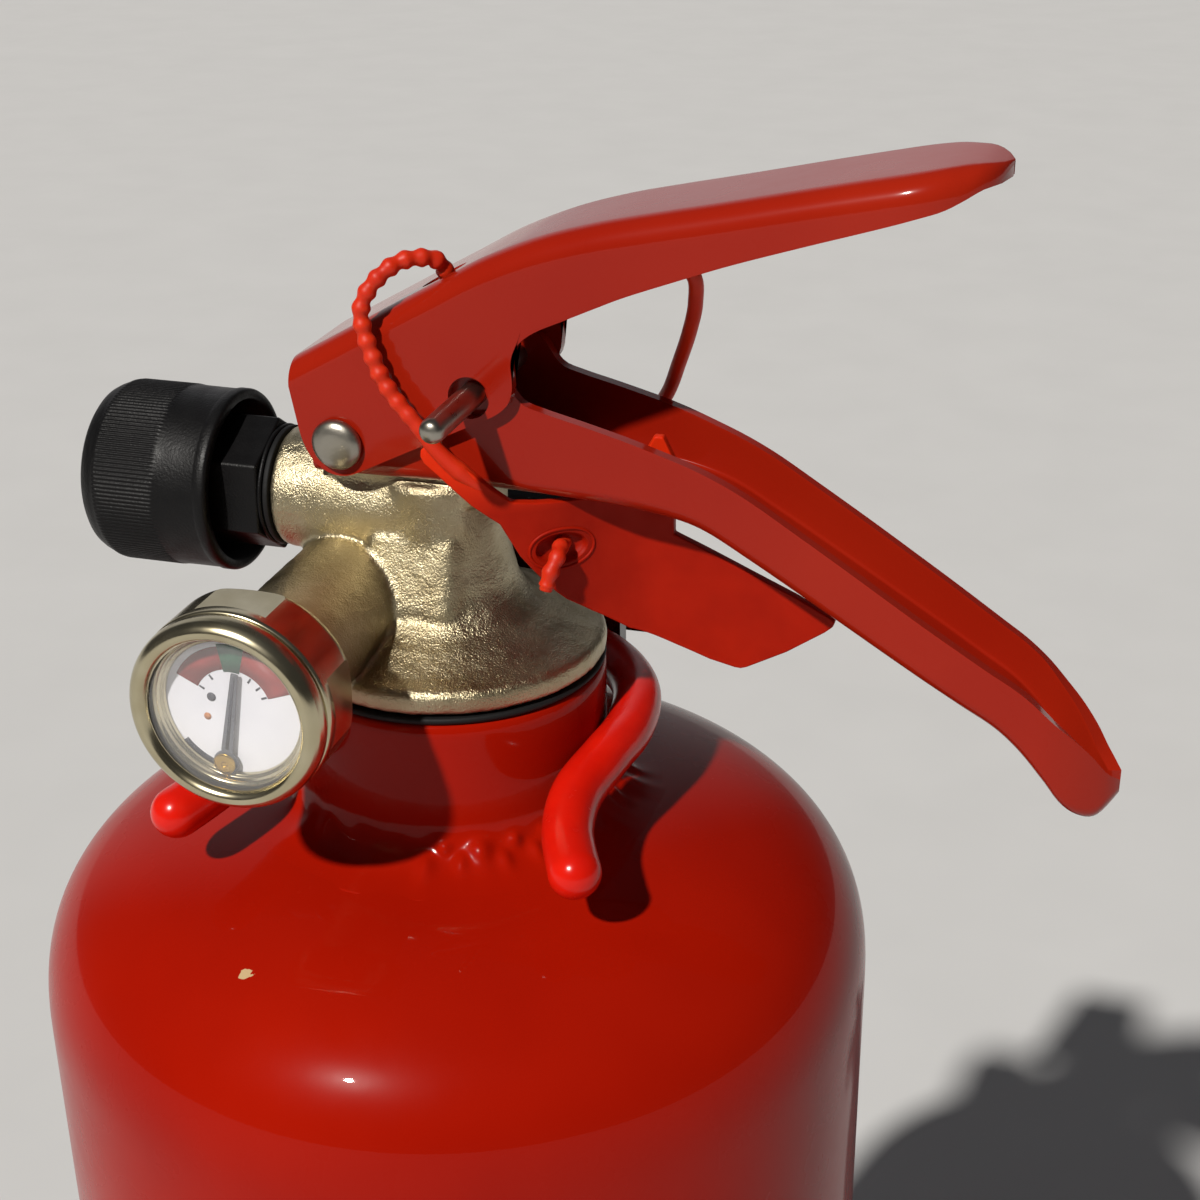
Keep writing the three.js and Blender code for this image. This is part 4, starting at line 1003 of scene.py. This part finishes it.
tag_outline = [(2.6, 29.6), (2.2, 30.4), (2.3, 31.2), (2.9, 31.7), (4.3, 31.2), (7.4, 29.3), (10, 26.9),
               (12.4, 24.9), (15, 24.6), (20.4, 24.2), (24.6, 23.6), (24.6, 28.3), (25.6, 28.3),
               (27.1, 31.2), (28.2, 31.2), (29.6, 28.3), (29.6, 19.0), (37, 15.8), (44.8, 12.4),
               (48.9, 10.3), (49.6, 9.8), (49.4, 9.1), (48.4, 8.2), (43.8, 5.0), (38.9, 2.3),
               (38.2, 2.05), (37.4, 2.1), (34.2, 2.8), (24, 6.4), (20, 9.4), (17.6, 11.6), (16.0, 13.6),
               (14.2, 16.2), (13, 18), (11, 22.2), (7.9, 24.6), (5.2, 27.2), (3.6, 28.7)]
tag = prism("seal_flag", tag_outline, -0.7, 0.7, holes=[oval(*TAIL_HOLE, 2.45, 1.95, 40)])
apply_all(soften(tag, 0.22, 2, 30))
# Cut into narrow strips, then bent so that its flat middle follows the plan
bm = bmesh.new()
bm.from_mesh(tag.data)
for k in range(67):
    bmesh.ops.bisect_plane(bm, geom=bm.verts[:] + bm.edges[:] + bm.faces[:],
                           plane_co=((0.8 * k - 1) * MM, 0, 0), plane_no=(1, 0, 0))
for v in bm.verts:
    p, t = plan_at(v.co.x / MM)
    side = Vector((-t.y, t.x, 0)) * v.co.y
    v.co = Vector((p.x * MM + side.x, p.y * MM + side.y, v.co.z))
bm.to_mesh(tag.data)
bm.free()
tag.data.shade_smooth()
even_normals(tag, 35)
place(tag, "vessel", "seal_plastic", seal, "seal_tag")


def on_tag(dx, dz, out):
    """Point on the bent tag, measured from the lock hole and out from its middle."""
    q, t = plan_at(TAIL_HOLE[0] + dx)
    return (q.x + t.y * out, q.y - t.x * out, TAIL_HOLE[1] + dz)


# Raised ring round the lock hole, and the cup that holds the strap's tail
ring_path = [(Vector(on_tag(x, z, 0.68)), i) for i, (x, z) in enumerate(oval(0, 0, 3.15, 2.55, 72))]
lock_ring = sweep("seal_lock_ring", ring_path, lambda s: 0.2, 12, closed=True)
place(lock_ring, "vessel", "seal_plastic", seal)

cup_rings = [(2.75, 2.2, 0.71), (2.5, 1.95, 0.6), (2.35, 1.8, 0.2), (2.25, 1.7, -0.15),
             (1.8, 1.3, -0.4), (1.0, 0.7, -0.48), (0.1, 0.06, -0.5)]
cup_v = [on_tag(x, z, out) for rx, rz, out in cup_rings for x, z in oval(0, 0, rx, rz, 48)]
cup_f = [(i * 48 + k, i * 48 + (k + 1) % 48, (i + 1) * 48 + (k + 1) % 48, (i + 1) * 48 + k)
         for i in range(len(cup_rings) - 1) for k in range(48)]
lock_cup = mesh_from("seal_lock_cup", cup_v, cup_f)
place(lock_cup, "vessel", "seal_plastic", seal)

strap_route = [
    (12.0, -9.5, 24.6), (9.8, -10.35, 26.1), (7.8, -10.85, 27.7), (5.8, -11.3, 29.4), (3.8, -11.7, 31.6),
    (1.8, -12.0, 34.4), (-0.4, -12.0, 37.0), (-2.0, -12.0, 39.5), (-3.1, -11.9, 42.1),
    (-4.0, -11.7, 44.8), (-4.3, -11.5, 47.1), (-3.4, -11.0, 49.5), (-1.9, -10.0, 51.3), (-0.4, -8.6, 52.3),
    (1.3, -7.2, 52.5), (2.6, -5.8, 52.1), (3.3, -4.6, 50.8), (3.3, -3.8, 48.7), (4.3, -3.6, 46.0),
    (7.4, -3.2, 45.6), (13.5, -1.6, 48.3), (21, 0.4, 51.4),
    (28, 1.7, 52.4), (31.0, 2.3, 50.2), (31.0, 3.6, 46.6), (29.9, 5.3, 42.6), (28.0, 7.8, 37.8),
    (25.9, 10.5, 33.0), (23.0, 13.4, 29.0), (19.5, 16.6, 26.8), (15.2, 16.9, 24.3), (13.4, 14.4, 21.6),
    (14.0, 9.5, 19.2), (15.6, 3.2, 18.0), (16.8, -2.6, 18.2), (17.4, -6.6, 18.7), (17.7, -9.0, 18.2),
    (17.1, -10.2, 16.4), (16.7, -10.7, 14.5),
]
strap_path, strap_len = resample(spline(strap_route, 14), 0.22)


def strap_radius(s):
    """Widest where it leaves the tag, beaded over the lever and at the free end, smooth behind."""
    root = unit(1 - (s - 5.0) / 9.0)
    bead = 0.5 + 0.5 * math.cos(2 * math.pi * s / 1.95)
    loop = unit((s - 12.0) / 9.0) * unit((49.0 - s) / 3.0)
    tail = unit((s - (strap_len - 12.0)) / 2.0)
    end = 1.0 if s < strap_len - 0.6 else 0.75
    full = (0.90 + 0.40 * root * root + 0.27 * bead * max(loop, 0.8 * tail) - 0.06 * max(loop, tail)) * end
    return min(full, 0.25 + 0.13 * s)


strap = sweep("seal_strap_cord", strap_path, strap_radius, 14)
paint(strap, strap_red)
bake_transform(strap)
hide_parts("seal_strap")

# ---------- neck clip

WIRE_R, CLIP_R = 3.2, 23.3       # dipped wire, and its bend round the neck
clip_right = [(25.3, -28.0), (24.4, -26.2), (22.4, -21.4), (21.5, -14.9), (22.7, -6.9), (23.4, 1.2)]
for deg in (23, 45, 68, 90):
    a = math.radians(deg)
    clip_right.append((CLIP_R * math.cos(a), 2.5 + CLIP_R * math.sin(a)))
clip_all = clip_right + [(-x, y) for x, y in clip_right[-2::-1]]


def clip_z(y):
    """Level round the neck; the arms droop towards their tips."""
    return -9.1 - 3.5 * (max(0.0, -6 - y) / 22) ** 1.3


clip_path, clip_len = resample(spline([(x, y, clip_z(y)) for x, y in clip_all], 14), 0.6)
tips = [p for p, _ in clip_path[:2] + clip_path[:-3:-1]]
bulge = [WIRE_R * math.sin(math.pi / 2 * k / 9) for k in range(1, 10)]
start_cap = [(tips[0] + (tips[0] - tips[1]).normalized() * b, -b) for b in reversed(bulge)]
end_cap = [(tips[2] + (tips[2] - tips[3]).normalized() * b, clip_len + b) for b in bulge]


def clip_radius(s):
    """A slightly uneven dip, rounded past both ends."""
    past = max(-s, s - clip_len) / WIRE_R
    if past > 0:
        return WIRE_R * math.sqrt(max(0.0016, 1 - min(1.0, past) ** 2))
    return WIRE_R - 0.036 * (1 + math.sin(s * 0.31))


fork = sweep("neck_fork", start_cap + clip_path + end_cap, clip_radius, 36)
place(fork, "wall_clip", "red_coating", vinyl, "neck_clip")

# ---------- return spring

# Squeezed between the adapter and the stem
COIL_R, COIL_LOW, COIL_RISE, COIL_TURNS = 4.1, -19, 22.4, 6
COIL_STEPS = COIL_TURNS * 36
coil = []
for i in range(COIL_STEPS + 1):
    a = 2 * math.pi * COIL_TURNS * i / COIL_STEPS
    z = COIL_LOW + COIL_RISE * i / COIL_STEPS
    coil.append((Vector((COIL_R * math.cos(a), COIL_R * math.sin(a), z)), i))
spring = sweep("stem_return_spring", coil, lambda s: 0.5, 12)
paint(spring, spring_steel)
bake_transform(spring)
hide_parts("valve_spring")

# ---------- CAD nodes that stay

STAY = {
    "wall_base": wall_paint, "wall_screw_upper": spring_steel, "wall_screw_lower": spring_steel,
    "powder_charge": powder, "dip_tube": white, "dip_tube_adapter": black,
    "valve_stem": stem_brass, "valve_disc": rubber, "stem_o_ring": rubber, "gauge_bourdon_tube": brass,
}
# Width, steps and angle of their softened edges, where they are not the usual ones
EDGES = {"wall_base": (0.5, 3, 30), "wall_screw_upper": (0.12, 2, 40), "wall_screw_lower": (0.12, 2, 40)}
for name, material in STAY.items():
    ob = nodes[name]
    paint(ob, material)
    soften(ob, *EDGES.get(name, (0.15, 2, 35)))

# ---------- stage, light and camera

card = Mat("floor_card")
card.color(card.mix(card.remap(card.noise(60, 3), 0.3, 0.7), (0.62, 0.62, 0.62), (0.60, 0.60, 0.60)))
card.rough(card.remap(card.noise(20, 3), 0.3, 0.7, 0.75, 0.85))
me = bpy.data.meshes.new("floor")
me.from_pydata([(-6, -6, 0), (6, -6, 0), (6, 6, 0), (-6, 6, 0)], [], [(0, 1, 2, 3)])
floor = add("floor", me)
paint(floor, card.m)

world = bpy.data.worlds.new("studio")
bpy.context.scene.world = world
world.use_nodes = True
tree = world.node_tree
background = tree.nodes["Background"]
direction = tree.nodes.new("ShaderNodeTexCoord").outputs["Generated"]
height = tree.nodes.new("ShaderNodeSeparateXYZ")
ramp = tree.nodes.new("ShaderNodeValToRGB")
low, high = ramp.color_ramp.elements
low.position, low.color = 0.0, (0.42, 0.40, 0.40, 1)
high.position, high.color = 1.0, (0.66, 0.68, 0.72, 1)
# A broad soft glow low behind the object, like a lit studio wall
toward = tree.nodes.new("ShaderNodeVectorMath")
toward.operation = "DOT_PRODUCT"
toward.inputs[1].default_value = Vector((-0.48, 0.86, 0.16)).normalized()
glow = tree.nodes.new("ShaderNodeMapRange")
glow.interpolation_type = "SMOOTHSTEP"
for key, value in {"From Min": 0.72, "From Max": 0.99, "To Min": 0.085, "To Max": 1.1}.items():
    glow.inputs[key].default_value = value
links = [(direction, height.inputs[0]), (direction, toward.inputs[0]),
         (height.outputs["Z"], ramp.inputs["Fac"]), (ramp.outputs["Color"], background.inputs["Color"]),
         (toward.outputs["Value"], glow.inputs["Value"]),
         (glow.outputs["Result"], background.inputs["Strength"])]
for source, target in links:
    tree.links.new(source, target)

key_light = bpy.data.lights.new("key", "SUN")
key_light.energy, key_light.angle, key_light.color = 4.0, math.radians(2.2), (1.0, 0.965, 0.91)
sun = add("key", key_light)
sun.rotation_euler = Vector((0.20, 0.69, -0.695)).normalized().to_track_quat("-Z", "Y").to_euler()

lens_data = bpy.data.cameras.new("camera")
lens_data.sensor_width, lens_data.lens = 36.0, 60.13
lens_data.shift_x, lens_data.shift_y = -0.0399, 0.0260
lens_data.clip_start, lens_data.clip_end = 0.01, 50
camera = add("camera", lens_data)
camera.location = (0.08635, -0.21526, 0.40427)
camera.rotation_euler = (math.radians(90 - 25.543), 0, math.radians(15.593))
bpy.context.scene.camera = camera
bpy.context.scene.view_settings.view_transform = "Standard"
